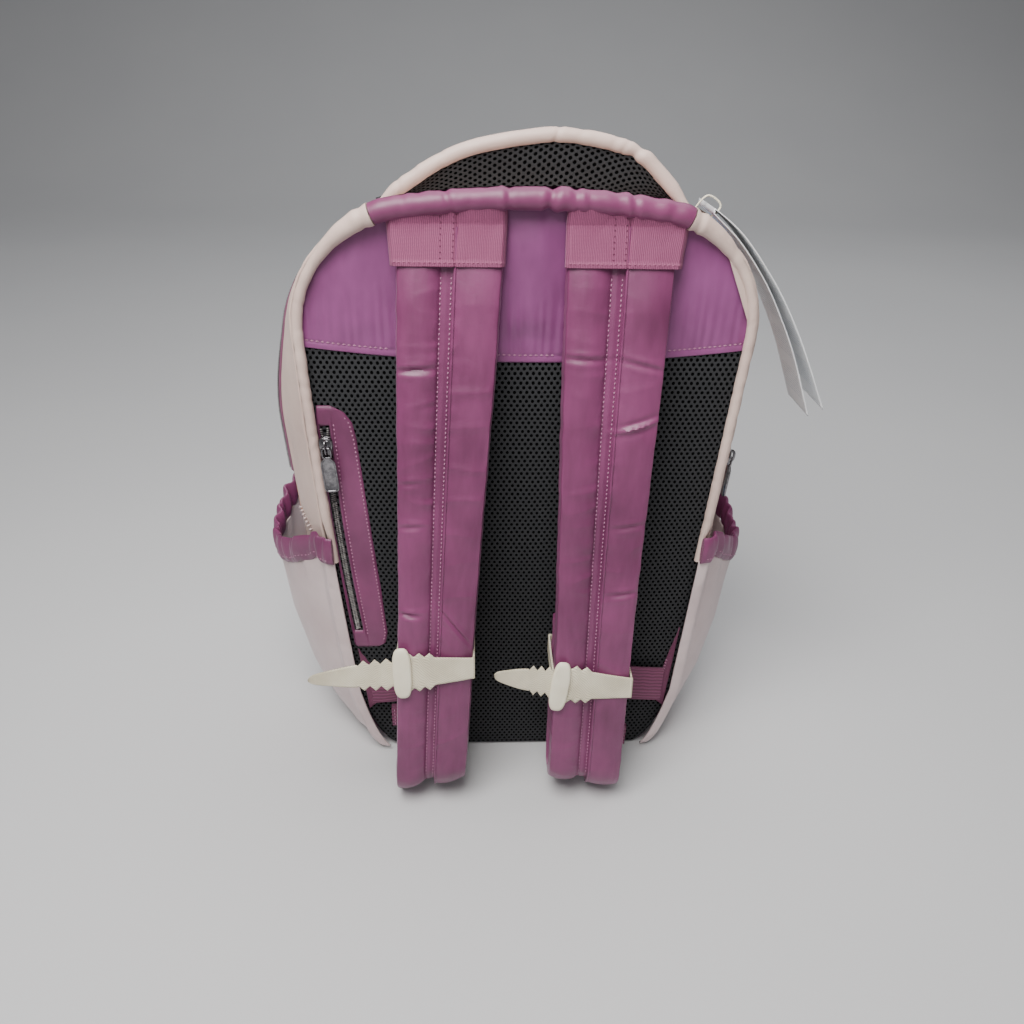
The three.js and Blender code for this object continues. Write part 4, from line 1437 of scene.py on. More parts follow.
@dataclass
class BackPocket:
    """The hidden pocket's facing beside the left rim, with its upright zip."""

    top: Vector = field(default_factory=lambda: Vector((-130.8, 0, 288)))
    bottom: Vector = field(default_factory=lambda: Vector((-121.2, 0, 122)))
    drop: float = 12.0
    lip: float = 3.5
    outer: tuple = (
        (104.5, -123), (107, -125.2), (155, -129.0), (205, -132.3), (255, -134.6), (296, -135.6),
        (303, -134.4),
    )
    inner: tuple = (
        (104.5, -113), (105.5, -106.5), (109, -101.0), (119, -99.0), (200, -104.6), (279, -109.9),
        (291, -112.0), (298.5, -117), (303, -126),
    )

    def line_x(self, z: float) -> float:
        """Return where the zip lies at a height."""
        share = (z - self.bottom.z) / (self.top.z - self.bottom.z)
        return mix(self.bottom.x, self.top.x, share) - 1.9 * math.sin(math.pi * clamp(share))

    def point(self, u: float, v: float) -> Triple:
        """Return a point of the facing."""
        z = mix(104.6, 302.9, v)
        x = mix(line(z, self.outer), line(z, self.inner), u)
        away = abs(x - self.line_x(z)) - self.lip
        inside = 1 - max(ramp(away, -0.5, 0.5), ramp(z, 288.5, 290), 1 - ramp(z, 119.5, 121))
        y = -2.1 - 0.35 * ripple(x / 12, z / 26, 5)
        y -= 0.55 * bell(away, 1.0, 0.8) * (1 - ramp(z, 290, 294)) * ramp(z, 116, 120)
        y += 0.35 * bell(away, 2.7, 0.6)
        edge = min(u, 1 - u, v * 6, (1 - v) * 6)
        y += 1.2 * (1 - smooth(edge * 16))
        return x, mix(y, -0.45, inside), z

    def build(self) -> None:
        """Sew the facing and fit the zip."""
        facing = Piece("back_pocket_welt", "bag", "plum_nylon", PLUM, PALE_THREAD)
        facing.sew(Cut(72, 170, 27, 198), self.point)
        rows = {
            "inner edge": (112, 296, lambda z: line(z, self.inner) - 2.4),
            "lip": (117, 291, lambda z: self.line_x(z) + self.lip + 2.9),
        }
        for first, last, x_at in rows.values():

            def row(
                share: float, first: float = first, last: float = last, x_at: Callable = x_at
            ) -> Vector:
                """Return a stitch row of the facing."""
                z = mix(first, last, share)
                x = x_at(z)
                start, end = line(z, self.outer), line(z, self.inner)
                point = self.point((x - start) / (end - start), (z - 104.6) / 198.3)
                return Vector(point) + Vector((0, -0.12, 0))

            facing.thread(
                seam_stitches(row, last - first, Vector((0, -1, 0)), 3.0, (0.36, 0.95, 0.3)), 1
            )
        facing.done("back_pocket_facing", thick=1.0)

        chain = Piece("back_zip_teeth", "bag", "zip_coil", COIL, PLUM)

        def path(share: float) -> Vector:
            """Return the chain's middle, from the top down."""
            z = mix(self.top.z - 0.5, self.bottom.z + 0.5, share)
            return Vector((self.line_x(z), -1.15, z))

        zip_teeth(chain, path, lambda share: Vector((0, -1, 0)), 166, 1.45, 4.0, split=0.08)
        chain.done("back_zip_chain")
        tilt = math.atan2(self.bottom.x - self.top.x, self.top.z - self.bottom.z)
        spot = Vector(
            (self.top.x + math.sin(tilt) * self.drop, -2.6, self.top.z - math.cos(tilt) * self.drop)
        )
        turn = Matrix.Translation(spot) @ Matrix.Rotation(-tilt, 4, "Y")
        ZipPull("back_zip", turn).build()


@dataclass
class MainZip:
    """The zip that runs up one side, over the top and down the other."""

    middle: float = 0.32
    half: float = 0.05
    end: float = 236.0
    closed: float = 246.0

    def build(self) -> None:
        """Sew the tape and fit the teeth and the slider."""
        end = OUTLINE.station(self.end, 1)
        length = (2 - 2 * end) * OUTLINE.length
        tape = Piece("main_zip_tape_cloth", "bag", "plum_nylon", TRIM, PALE_THREAD)

        def cloth(u: float, v: float) -> Triple:
            """Return a point of the tape."""
            away = abs(u - 0.5) * 2
            lift = 0.2 + 1.0 * bell(away, 0.62, 0.16) - 0.5 * bell(away, 0, 0.3)
            return OUTLINE.skin(
                mix(end, 2 - end, v), mix(self.middle - self.half, self.middle + self.half, u), lift
            )

        tape.sew(Cut(20, 420, 13, length), cloth)
        tape.done("main_zip_tape", thick=0.9)

        def path(share: float) -> Vector:
            """Return the chain's middle."""
            return Vector(OUTLINE.skin(mix(end, 2 - end, share), self.middle, 1.0))

        def out(share: float) -> Vector:
            """Return the way out of the bag."""
            o = OUTLINE.at(mix(end, 2 - end, share))
            return Vector((o.nx, 0, o.nz))

        chain = Piece("main_zip_teeth", "bag", "zip_coil", COIL)
        zip_teeth(chain, path, out, length, 1.7, 5.4)
        chain.done("main_zip_chain")
        here = Vector(OUTLINE.skin(OUTLINE.station(self.closed, 1), self.middle, 2.6))
        above = Vector(OUTLINE.skin(OUTLINE.station(self.closed + 12, 1), self.middle, 2.6))
        tilt = math.atan2(above.x - here.x, above.z - here.z)
        turn = Matrix.Translation(here) @ Matrix.Rotation(tilt, 4, "Y") @ Matrix.Rotation(
            math.pi / 2, 4, "Z"
        )
        ZipPull("main_zip", turn).build()


@dataclass
class RacketPocket:
    """The padded pocket on the front, with a zip down its side."""

    wide: float = 0.8
    tall: float = 0.78
    lift: float = 14.0
    deep: float = 24.0
    zip_x: float = 74.0
    zip_top: float = 300.0
    zip_length: float = 210.0

    def ring(self, station: float, inset: float) -> tuple[float, float]:
        """Return the pocket's outline."""
        o = OUTLINE.at(station)
        return (o.x - o.nx * inset) * self.wide, (o.z - o.nz * inset) * self.tall + self.lift

    def build(self) -> None:
        """Sew the wall and the face, and fit the zip."""
        wall = Piece("racket_pocket_gusset", "bag", "plum_nylon", PLUM, PALE_THREAD)

        def side(u: float, v: float) -> Triple:
            """Return a point of the wall."""
            x, z = self.ring(
                2 * v, 4 + 6 * u * u - 0.6 * ripple(v * 40, u * 2, 6) * smooth(min(u, 1 - u) * 6)
            )
            return settle(x, DEPTH + 0.35 - TAPER * z + u * self.deep, z)

        wall.sew(Cut(18, 420, 24, 900), side, away=(0, 150, 180))
        wall.done("racket_pocket_wall", thick=2.2)

        face = Piece("racket_pocket_face", "bag", "blush_nylon", BLUSH, BLUSH_THREAD, PLUM)

        def front(u: float, v: float) -> Triple:
            """Return a point of the face."""
            x, z = self.ring(2 * u, 15)
            x, z = x * v, 180 + (z - 180) * v
            puff = 2.6 * (1 - v**5) + 0.7 * ripple(x / 34, z / 34, 9) * (1 - v**8)
            return settle(x, DEPTH + self.deep + 0.4 - TAPER * z + puff - 2.0, z)

        face.sew(Cut(150, 60, 640, 180), front, wrap=True, away=None, flat=True, outward=True)

        def piping(v: float) -> Vector:
            """Return the piping round the face."""
            x, z = self.ring(2 * v, 12.6)
            return Vector(settle(x, DEPTH + self.deep - TAPER * z - 1.0, z))

        face.tube(lambda v: piping(v % 1), 2.0, 10, 260, 900, loop=True, up=(0, 1, 0), finish=2)

        def row(share: float) -> Vector:
            """Return the stitches inside the piping."""
            return Vector(front(share, 0.965)) + Vector((0, 0.1, 0))

        face.thread(seam_stitches(row, 860, Vector((0, 1, 0)), 3.4), 1)
        face.done("racket_pocket_panel", thick=2.5, fill=0.4)

        lean = math.atan(TAPER)
        frame_ = (
            Matrix.Translation(
                (self.zip_x, DEPTH + self.deep + 1.35 - TAPER * self.zip_top, self.zip_top)
            )
            @ Matrix.Rotation(lean, 4, "X")
            @ Matrix.Rotation(math.pi, 4, "Z")
        )
        tape = Piece("racket_zip_tape_cloth", "bag", "plum_nylon", TRIM, PALE_THREAD)

        def cloth(u: float, v: float) -> Triple:
            """Return a point of the tape."""
            rise = 0.55 * bell(abs(u - 0.5), 0.3, 0.08)
            return tuple(frame_ @ Vector((mix(-8, 8, u), -1.2 - rise, -self.zip_length * v)))

        tape.sew(Cut(24, 80, 16, self.zip_length), cloth, away=(0, 150, 180))
        out = frame_.to_3x3() @ Vector((0, -1, 0))
        for x in (-6.6, 6.6):
            tape.thread(
                seam_stitches(
                    lambda s,
                    x=x: frame_ @ Vector((x, -1.3, -self.zip_length * mix(0.01, 0.99, s))),
                    self.zip_length, out, 3.2,
                ),
                1,
            )
        tape.done("racket_zip_tape", thick=1.0)
        chain = Piece("racket_zip_teeth", "bag", "zip_coil", COIL)
        zip_teeth(
            chain, lambda s: frame_ @ Vector((0, -2.1, -self.zip_length * s)), lambda s: out,
            self.zip_length, 1.6, 5.4,
        )
        chain.done("racket_zip_chain")
        drop = 14.0
        height = self.zip_top - drop
        turn = (
            Matrix.Translation((self.zip_x, DEPTH + self.deep + 4.8 - TAPER * height, height))
            @ Matrix.Rotation(lean, 4, "X")
            @ Matrix.Rotation(math.pi, 4, "Z")
        )
        ZipPull("racket_zip", turn).build()


# ---------- bottle pockets ----------
class Side(Enum):
    """A side of the bag as the straps are looked at."""

    LEFT = "left"
    RIGHT = "right"

    @property
    def sign(self) -> int:
        """Return -1 for left and 1 for right."""
        return -1 if self is Side.LEFT else 1


@dataclass
class BottlePocket:
    """A side pocket with a gathered cuff."""

    side: Side
    share: float = 0.74  # of the depth
    cuff: float = 22.0

    @property
    def bulge(self) -> float:
        """Return how far the pocket puffs out."""
        return 20.0 if self.side is Side.LEFT else 24.0

    def point(self, a: float, z: float, stand: float) -> Triple:
        """Return a point of the pocket.

        Args:
            a: the share from the side of the back panel to the front seam; from -1 to 0
                it laps round the rim on to the panel.
            z: the height.
            stand: how far outside the lining it lies.

        Returns:
            The point in millimetres.
        """
        sign = self.side.sign
        near = OUTLINE.half(max(z, HEEL), sign)
        half = mix(100.0, near, math.sqrt(max(z, 0) / HEEL)) if z < HEEL else near
        if a < 0:
            angle = math.radians(85 * a)
            out = (7.4 + stand) * math.cos(angle)
            return sign * (half - 3 + out), -0.85 + (3.2 + stand) * math.sin(angle), z
        t = mix(0.02, self.share, a)
        swell = OUTLINE.BULGE[sign] * 4 * t * (1 - t)
        puff = self.bulge * max(
            math.sin(math.pi * clamp(a)), 0
        ) ** 0.75 * math.sqrt(clamp((z + 4) / 110))
        return sign * (half + OUTLINE.EDGE_GROW + swell + puff + stand), t * OUTLINE.depth(z), z

    @staticmethod
    def mouth(a: float) -> float:
        """Return the height of the mouth's seam."""
        return 184 - 33 * math.sin(math.pi * clamp(a)) + 13 * smooth(a)

    @staticmethod
    def lapped(share: float, lap: float = 0.11) -> float:
        """Turn a share of the whole cloth into a place from -1 to 1."""
        return share / lap - 1 if share < lap else (share - lap) / (1 - lap)

    def wall(self, u: float, v: float) -> Triple:
        """Return a point of the pocket's cloth."""
        a = self.lapped(u)
        z = mix(3 + 6 * u, self.mouth(a) + 1, v)
        seed = 50.0 + self.side.sign
        drape = 1.5 * ripple(u * 3.2 + v * 0.5, v * 1.6, seed) * smooth(min(u, 1 - u) * 5)
        gather = 0.9 * math.sin(
            u * 46 + 2.4 * ripple(u * 9, v, seed)
        ) * ramp(v, 0.84, 1.0) * smooth(min(u, 1 - u) * 12)
        foot = 1.4 * (
            crease(u * 9, v * 2.2, seed) - 0.3
        ) * (1 - ramp(v, 0.02, 0.3)) * smooth(min(u, 1 - u) * 8)
        seam = 1.6 * crease(v * 7, u * 2, seed + 3) * (1 - smooth(min(u, 1 - u) * 9))
        edge = smooth(u * 16)
        return self.point(a, z, mix(1.6, 3.0 + drape + gather + foot - seam, edge))

    def band(self, u: float, v: float) -> Triple:
        """Return a point of the gathered cuff, u round its section and v along the mouth."""
        seed = 80.0 + 7 * self.side.sign
        angle = 2 * math.pi * u
        rise = 0.5 - 0.5 * math.cos(angle)
        inner = smooth(min(v, 1 - v) * 14)
        waves = math.sin(
            v * 62 + 3.4 * ripple(v * 7, 0.3, seed)
        ) + 0.7 * math.sin(v * 101 + 4 * ripple(v * 11, 2.0, seed))
        wavy = (1.5 * ripple(v * 11, 3.0, seed) + 0.5 * waves) * inner
        height = mix(0.4 + wavy * 0.8, self.cuff + wavy, rise)
        puffed = 2.6 * math.sin(angle) * (1 + 0.25 * ripple(v * 20, rise * 2, seed))
        ruffle = 1.15 * waves * inner * (0.45 + 0.55 * rise) + 1.2 * ripple(
            v * 26, rise * 1.2, seed + 1
        ) * inner
        a = self.lapped(v)
        x, y, z = self.point(a, self.mouth(a), 3.4 + puffed + ruffle)
        return x, y, z + height

    def build(self) -> None:
        """Sew the pocket and its cuff."""
        name = self.side.value
        wall = Piece(f"bottle_pocket_{name}_cloth", "bag", "blush_nylon", LILAC, BLUSH_THREAD)
        wall.sew(Cut(130, 110, 160, 180), self.wall)
        wall.done(f"bottle_pocket_{name}", thick=1.2)
        cuff = Piece(f"pocket_cuff_{name}_ruffle", "bag", "plum_nylon", PLUM, PALE_THREAD)
        cuff.sew(Cut(30, 300, 48, 190), self.band, wrap=True, caps=True, away=None)

        def row(share: float) -> Vector:
            """Return the stitches along the cuff's lower seam."""
            v = mix(0.02, 0.98, share)
            x, y, z = self.band(0.15, v)
            return Vector((x + self.side.sign * 0.15, y, z))

        cuff.thread(seam_stitches(row, 180, Vector((self.side.sign, 0, 0)), 3.2), 1)
        cuff.done(f"pocket_cuff_{name}", fill=0.5)


# ---------- shoulder straps ----------
@dataclass
class Strap:
    """A padded shoulder strap, folded up and tied for the shop."""

    side: Side
    top_x: float
    bottom_x: float
    slim: float
    tie_z: float
    tie_tilt: float
    tail_tilt: float
    reach: float
    creases: tuple  # (height, share across, length across, depth, slant)

    LINE = (
        (-4.8, 416), (-6.6, 405), (-10.5, 380), (-16, 340), (-24, 280), (-33, 210), (-42, 150),
        (-50, 95), (-55.5, 46), (-56, 29), (-45, 17), (-34, 31), (-30.5, 56), (-28, 100),
        (-25, 150),
    )
    LEAN = 0.145
    SEAM_LEFT, SEAM_RIGHT, RIDGE = -0.085, 0.02, 0.048

    def __post_init__(self) -> None:
        """Prepare the strap's middle line."""
        self.run = Curve([(0, y, z) for y, z in self.LINE], 24)
        self.body = f"strap_{self.side.value}"
        self.seed = 30.0 + 11 * self.side.sign

    def width(self, z: float) -> float:
        """Return the strap's width at a height."""
        return mix(55, 64, smooth((z - 120) / 280)) * self.slim

    def x(self, z: float) -> float:
        """Return the strap's middle at a height."""
        return mix(self.bottom_x, self.top_x, (z - 20) / 390)

    def point(self, u: float, v: float, stand: float) -> Vector:
        """Return a point by shares along and across, and its height off the middle line."""
        p, along = self.run.at(u), self.run.along(u)
        width = self.width(p.z)
        skew = -self.side.sign * 0.22 * v * width * (1 - smooth((p.z - 24) / 90))
        return Vector(
            (self.x(p.z) + v * width, p.y + along.z * stand, p.z - along.y * stand + skew)
        )

    def face(self, u: float, v: float) -> float:
        """Return how high the front cloth stands off the middle line."""
        here = u * self.run.length
        z = self.run.at(u).z
        flat = mix(0.5, 1.0, smooth(u / 0.08))
        left = clamp((v + 0.5) / (self.SEAM_LEFT + 0.5))
        right = clamp((v - self.RIDGE) / (0.5 - self.RIDGE))
        rise = 0.0
        if v < self.SEAM_LEFT:
            rise = max(math.sin(math.pi * mix(0.10, 1.0, left)), 0) ** 0.5 * 5.2 + 2.2
        elif v > self.RIDGE:
            rise = max(math.sin(math.pi * mix(0.16, 0.93, right)), 0) ** 0.5 * 5.0 + 2.4
        else:
            rise = 2.4 + 0.5 * bell(v, (self.SEAM_LEFT + self.SEAM_RIGHT) / 2, 0.03)
        inner = smooth(min(v + 0.5, 0.5 - v) * 16)
        near_left = math.exp(-max(self.SEAM_LEFT - v, 0) / 0.13) if v < self.SEAM_LEFT else 0.0
        near_right = math.exp(-max(v - self.RIDGE, 0) / 0.10) if v > self.RIDGE else 0.0
        busy = 0.45 + 0.55 * ramp(ripple(here / 60, 1.0, self.seed + 4), -0.4, 0.3)
        puckers = ripple(here / 7.5, v * 2.2, self.seed) * (near_left + 0.55 * near_right) * 1.25
        puckers += (
            crease(here / 17, v * 1.2, self.seed + 7) - 0.25
        ) * 1.0 * (0.35 + near_left) * (v < self.SEAM_LEFT)
        puckers += (crease(here / 24, v * 1.4, self.seed + 9) - 0.2) * 0.75 * (v > self.RIDGE)
        soft = 0.9 * ripple(here / 38, v * 2.5, self.seed + 2)
        for height, middle, reach, depth, slant in self.creases:
            away = z - height - slant * (v - middle) * 60
            if abs(away) < 16:
                cover = bell(v, middle, reach)
                rise -= depth * cover * (
                    bell(away, 0, 1.5) - 0.5 * bell(away, 3.2, 1.8) - 0.35 * bell(away, -3.6, 2.2)
                )
        calm = mix(0.25, 1.0, smooth((here - 22) / 60))
        return (rise + (puckers * busy + soft) * inner * calm) * flat

    def section(self, u: float, v: float) -> Triple:
        """Return a point of the closed pad, u round its section and v along it."""
        along = mix(0.0, 1.0, v)
        front = 0.72
        if u <= front:
            w = u / front
            across = -0.5 * math.cos(math.pi * w) * 0.35 + (w - 0.5) * 0.65
            if w < 0.03 or w > 0.97:
                stand = mix(-1.2, self.face(along, across), smooth(min(w, 1 - w) / 0.03))
            else:
                stand = self.face(along, across)
        else:
            w = (u - front) / (1 - front)
            across = 0.5 - w
            round_ = smooth(min(w, 1 - w) * 8)
            stand = -1.2 - 3.9 * round_ * mix(0.5, 1.0, smooth(along / 0.08))
        wobble = 0.012 * ripple(
            along * 46, across, self.seed + 5
        ) + 0.006 * ripple(along * 130, across, self.seed)
        edge = smooth((abs(across) - 0.3) / 0.2)
        return tuple(self.point(along, across * (1 + wobble * edge), stand))

    def on_face(self, u: float, v: float, lift: float = 0.0) -> Vector:
        """Return a point on the front cloth."""
        return self.point(u, v, self.face(u, v) + lift)

    def out(self, u: float) -> Vector:
        """Return the way off the front cloth."""
        along = self.run.along(u)
        return Vector((0, along.z, -along.y))

    def hinge(self) -> tuple[str, Triple, Triple]:
        """Return the bend between the bag and the strap."""
        return self.body, (self.top_x, -4.8, 419), (self.top_x, -9, 399)

    def build(self) -> None:
        """Sew the pad and everything that hangs on it."""
        name = self.side.value
        length = self.run.length
        pad = Piece(f"strap_{name}_pad", "bag", "plum_nylon", PLUM, PALE_THREAD, NET, PLUM_THREAD)
        pad.sew(Cut(132, 430, 140, length), self.section, wrap=True, caps=True, away=None)
        pad.bm.faces.ensure_lookup_table()
        layer = pad.bm.loops.layers.uv.active
        for f in pad.bm.faces:
            middle = sum(loop[layer].uv.x for loop in f.loops) / len(f.loops) / 140
            if len(f.verts) == 4 and 0.745 < middle < 0.975:
                f.material_index = 2
        start, end = 0.052, 0.735
        for v, zigzag in ((self.SEAM_LEFT + 0.006, 0.12), (self.SEAM_RIGHT, 0.18)):
            beads = seam_stitches(
                lambda s, v=v: self.on_face(mix(start, end, s), v, 0.12),
                length * (end - start),
                lambda s: self.out(mix(start, end, s)),
                2.9,
                (0.46, 0.95, 0.42),
                zigzag,
            )
            pad.thread(beads, 1)
        # The right half's folded edge lies on the channel.
        pad.tube(
            lambda s: self.on_face(mix(0.003, 0.74, s), self.RIDGE + 0.004, 0.15),
            lambda u, v: 0.85 + 0.12 * ripple(v * 90, u * 3, self.seed),
            8,
            420,
            length * 0.737,
        )
        pad.done(f"strap_pad_{name}", fill=0.6, bend=self.hinge(), crisp=60)
        self.anchor()
        self.webbing()
        self.tie()

    def anchor(self) -> None:
        """Sew the grosgrain patch over the strap's top."""
        sign = self.side.sign
        patch = Piece(f"strap_{self.side.value}_patch", "bag", "grosgrain", GROSGRAIN, PLUM_THREAD)
        low = 0.0425

        def cloth(u: float, v: float) -> Triple:
            """Return a point of the patch."""
            across = mix(-0.515, 0.515, u)
            along = mix(-0.016, low, v)
            spread = sign * max(across * sign, 0) * mix(0.19, 0.07, v)
            lift = 0.55 + 0.5 * bell(v, 0.93, 0.03) + 0.5 * smooth((v - 0.9) * 12)
            under = self.face(max(along, 0.004), clamp(across, -0.46, 0.46))
            rise = max(under, mix(2.2, 5.4, v)) + lift + 0.3
            rise += 0.4 * ripple(across * 5, v * 1.5, self.seed) - 1.3 * bell(
                across, self.RIDGE + 0.004, 0.01
            )
            rise -= 3.5 * smooth((abs(across) - 0.47) / 0.05)
            if along < 0:
                point = self.point(0.0, across + spread, rise)
                point.z += -along * self.run.length
                point.y += 0.2 * along * self.run.length
                return tuple(point)
            return tuple(self.point(along, across + spread, rise))

        patch.sew(Cut(110, 60, self.width(400), 36), cloth)
        row = seam_stitches(
            lambda s: Vector(cloth(mix(0.02, 0.98, s), 0.925)) + Vector((0, -0.1, 0)),
            self.width(390),
            Vector((0, -1, 0)),
            2.6,
            (0.45, 1.0, 0.4),
            0.25,
        )
        patch.thread(row, 1)
        for v in (self.SEAM_LEFT, self.SEAM_RIGHT):
            column = seam_stitches(
                lambda s, v=v: Vector(cloth((v + 0.515) / 1.03, mix(0.1, 0.9, s))),
                26,
                Vector((0, -1, 0)),
                2.9,
                (0.3, 0.8, 0.2),
            )
            patch.thread(column, 0)
        patch.done(f"strap_anchor_{self.side.value}", thick=0.9, bend=self.hinge())

    def webbing(self) -> None:
        """Sew the webbing, its hem and its wing, and fit the ladder lock."""
        name, sign = self.side.value, self.side.sign
        wing_x, wing_z, width = 115.5, 78.0, 33.0

        def ribbon(
            points: Sequence[Triple], wide: Triple, size: float, thick: float, sag: float = 0.4
        ) -> Callable[[Piece], None]:
            """Return a maker of a flat ribbon through points."""
            curve = Curve(points)
            axis = Vector(wide)

            def add(piece: Piece) -> None:
                """Add the ribbon to a piece."""

                def shape(u: float, v: float) -> Triple:
                    """Return a point of the closed ribbon."""
                    angle = 2 * math.pi * u
                    flat = clamp(math.cos(angle) * 1.35, -1, 1)
                    face = curve.along(v).cross(axis).normalized()
                    swell = thick / 2 * math.copysign(abs(math.sin(angle)) ** 0.4, math.sin(angle))
                    dip = sag * ripple(v * 3, flat, self.seed)
                    return tuple(curve.at(v) + axis * (flat * size / 2) + face * (swell + dip))

                piece.sew(
                    Cut(40, 60, 2 * size, curve.length), shape, wrap=True, caps=True, away=None
                )

            return add

        def x(share: float) -> float:
            """Return a place between the wing and the strap's middle."""
            return mix(sign * (wing_x - 1), self.x(wing_z), share)

        lower = Piece(f"webbing_{name}_run", "bag", "plum_nylon", TRIM, PALE_THREAD)
        ribbon(
            [(x(0), -4.2, 67), (x(0.35), -7, 71), (x(0.75), -8.6, 76), (x(1.1), -9, 78)],
            (0, 0, 1), width, 1.7,
        )(lower)
        lower.done(f"webbing_lower_{name}", bend=(self.body, (x(0.1), -5, 68), (x(0.95), -9, 78)))

        middle, lock = self.x(wing_z), self.x(171)
        upper = Piece(f"webbing_{name}_rise", self.body, "plum_nylon", TRIM)
        ribbon(
            [
                (middle, -15.2, 70), (middle, -15.4, 104), (mix(middle, lock, 0.7), -16, 140),
                (lock, -17, 167), (lock, -17.2, 182),
            ],
            (1, 0, 0),
            width,
            1.6,
        )(upper)
        upper.done(f"webbing_upper_{name}")

        z = 74.0 if sign < 0 else 52.0
        outer = self.x(z) + sign * (self.width(z) / 2 + 4)
        hem = Piece(f"webbing_{name}_hem", self.body, "plum_nylon", TRIM, PALE_THREAD)
        ribbon(
            [(outer - sign * 33.5, -42, z), (outer - sign * 17, -42, z), (outer, -42, z)],
            (0, 0, 1), 18.5, 4.4, 0.1,
        )(hem)
        row = seam_stitches(
            lambda s: Vector(
                (outer - sign * 2.2, -44.3, z + mix(-8, 8, s))
            ), 16, Vector((0, -1, 0)), 2.8
        )
        hem.thread(row, 1)
        hem.done(f"webbing_hem_{name}")

        corners = (
            (-123, 103), (-115, 88), (-110, 50), (-118.5, 42)
        ) if sign < 0 else ((123, 122), (115, 88), (110, 50), (118.5, 42))
        wing = Piece(f"strap_{name}_wing", "bag", "plum_nylon", TRIM, PALE_THREAD)

        def cloth(u: float, v: float) -> Triple:
            """Return a point of the folded triangle."""
            (ax, az), (bx, bz), (cx, cz), (dx, dz) = corners
            edge = min(u, 1 - u, v, 1 - v)
            y = -1.9 - 0.3 * smooth(edge * 12) - 0.5 * ripple(u * 3, v * 3, self.seed)
            return mix(mix(dx, ax, v), mix(cx, bx, v), u), y, mix(mix(dz, az, v), mix(cz, bz, v), u)

        wing.sew(Cut(24, 60, 14, 60), cloth)
        wing.thread(
            seam_stitches(
                lambda s: Vector(cloth(0.82, mix(0.05, 0.95, s))), 40, Vector((0, -1, 0)), 2.8
            ),
            1,
        )
        wing.done(f"strap_wing_{name}", thick=1.4)

        ladder = Piece(f"ladder_lock_{name}_frame", self.body, "buckle_plastic", BUCKLE)
        for dz in (-13.3, -4.4, 4.4, 13.3):
            half, tall = 19.8, 2.2 if abs(dz) < 10 else 1.9
            bar = [(-half, -tall), (half, -tall), (half, tall), (-half, tall)]
            ladder.slab(
                bar, 3.6 if abs(dz) > 10 else 2.6, Matrix.Translation((lock, -22.5, 171 + dz)), 0.7
            )
        for dx in (-18.4, 18.4):
            rail = [(-1.7, -15), (1.7, -15), (1.7, 15), (-1.7, 15)]
            ladder.slab(rail, 4.0, Matrix.Translation((lock + dx, -22.5, 171)), 0.8)
        ladder.done(f"ladder_lock_{name}")

    def tie_front(self, z: float) -> float:
        """Return how far forward the tie's band lies at a height."""
        return -48.6 - (150 - z) * self.LEAN - 3.0

    def tie_edge(self, x: float) -> tuple[float, float]:
        """Return how far the band reaches down and up at a distance from its head."""
        teeth, pitch = 3, 7.2
        body = mix(12.2, 7.6, smooth(x / 62))
        if x > teeth * pitch:
            return -body, body
        away = abs((x / pitch) % 1 - 0.5) * 2
        return -(body + mix(3.4, 0.2, away)), body + mix(3.4, 0.2, away)

    def tail_edge(self, x: float) -> tuple[float, float]:
        """Return how far the tail reaches down and up at a distance from its head."""
        toothed = 0.48 * self.reach
        pitch = toothed / 4
        if x < toothed:
            body = mix(11.4, 9.4, x / toothed)
            away = abs((x / pitch) % 1 - 0.5) * 2
            return -(body + 2.2 - 4.0 * away), body + 2.2 - 4.0 * away
        tip = (x - toothed) / (self.reach - toothed)
        size = mix(8.6, 4.6, smooth(tip)) * math.sqrt(max(1 - tip**7, 0))
        return -size, size

    def tie(self) -> None:
        """Mould the tie round the folded strap."""
        name = self.side.value
        x0 = self.x(self.tie_z)
        half = self.width(self.tie_z) / 2 + 0.9
        head_x = x0 - half + 5
        corner = 4.5
        back = -11.8

        def lean(x: float, dz: float, tilt: float, stand: float = 0.0) -> Vector:
            """Return a point on the tie's leaning front."""
            z = self.tie_z + dz + tilt * (x - x0)
            return Vector((x, self.tie_front(self.tie_z) + self.LEAN * dz - stand, z))

        band = Piece(f"tie_{name}_strip", self.body, "tie_plastic", TIE, TIE_SMOOTH)
        front = self.tie_front(self.tie_z)
        loop = [
            (head_x - 3, front), (x0 + half - corner, front), (x0 + half - 1.2, front + 1.2),
            (x0 + half, front + corner), (x0 + half, back - corner), (x0 + half - 1.3, back - 1.3),
            (x0 + half - corner, back), (x0 - half + corner, back), (x0 - half + 1.3, back - 1.3),
            (x0 - half, back - corner), (x0 - half, front + corner + 1.5),
            (x0 - half + 1.2, front + 2.4), (head_x, front + 1.5),
        ]
        path = Curve([(x, y, 0) for x, y in loop], 20)

        def strip(u: float, v: float) -> Triple:
            """Return a point of the band round the strap."""
            p = path.at(v)
            along = v * path.length
            low, high = self.tie_edge(max(along - 4, 0))
            dz = mix(low, high, u)
            sag = 0.35 * ripple(along / 16, u, self.seed)
            return p.x, p.y + self.LEAN * dz + sag, self.tie_z + dz + self.tie_tilt * (p.x - x0)

        band.sew(Cut(16, 500, 26, path.length), strip, away=(x0, -30, self.tie_z))
        tail_x = x0 - half + 6

        def tail(u: float, v: float) -> Triple:
            """Return a point of the tail."""
            along = self.reach * (1 - (1 - v) ** 1.15) if v < 1 else self.reach
            low, high = self.tail_edge(min(along, self.reach - 0.05))
            dz = mix(low, high, u)
            x = tail_x - along * math.cos(self.tail_tilt)
            z = self.tie_z + self.tie_tilt * (tail_x - x0) + dz - math.sin(self.tail_tilt) * along
            curl = -0.035 * along * smooth(along / self.reach) - 0.4 * ripple(
                along / 20, u, self.seed
            )
            return x, self.tie_front(self.tie_z) - 0.4 + self.LEAN * dz + curl, z

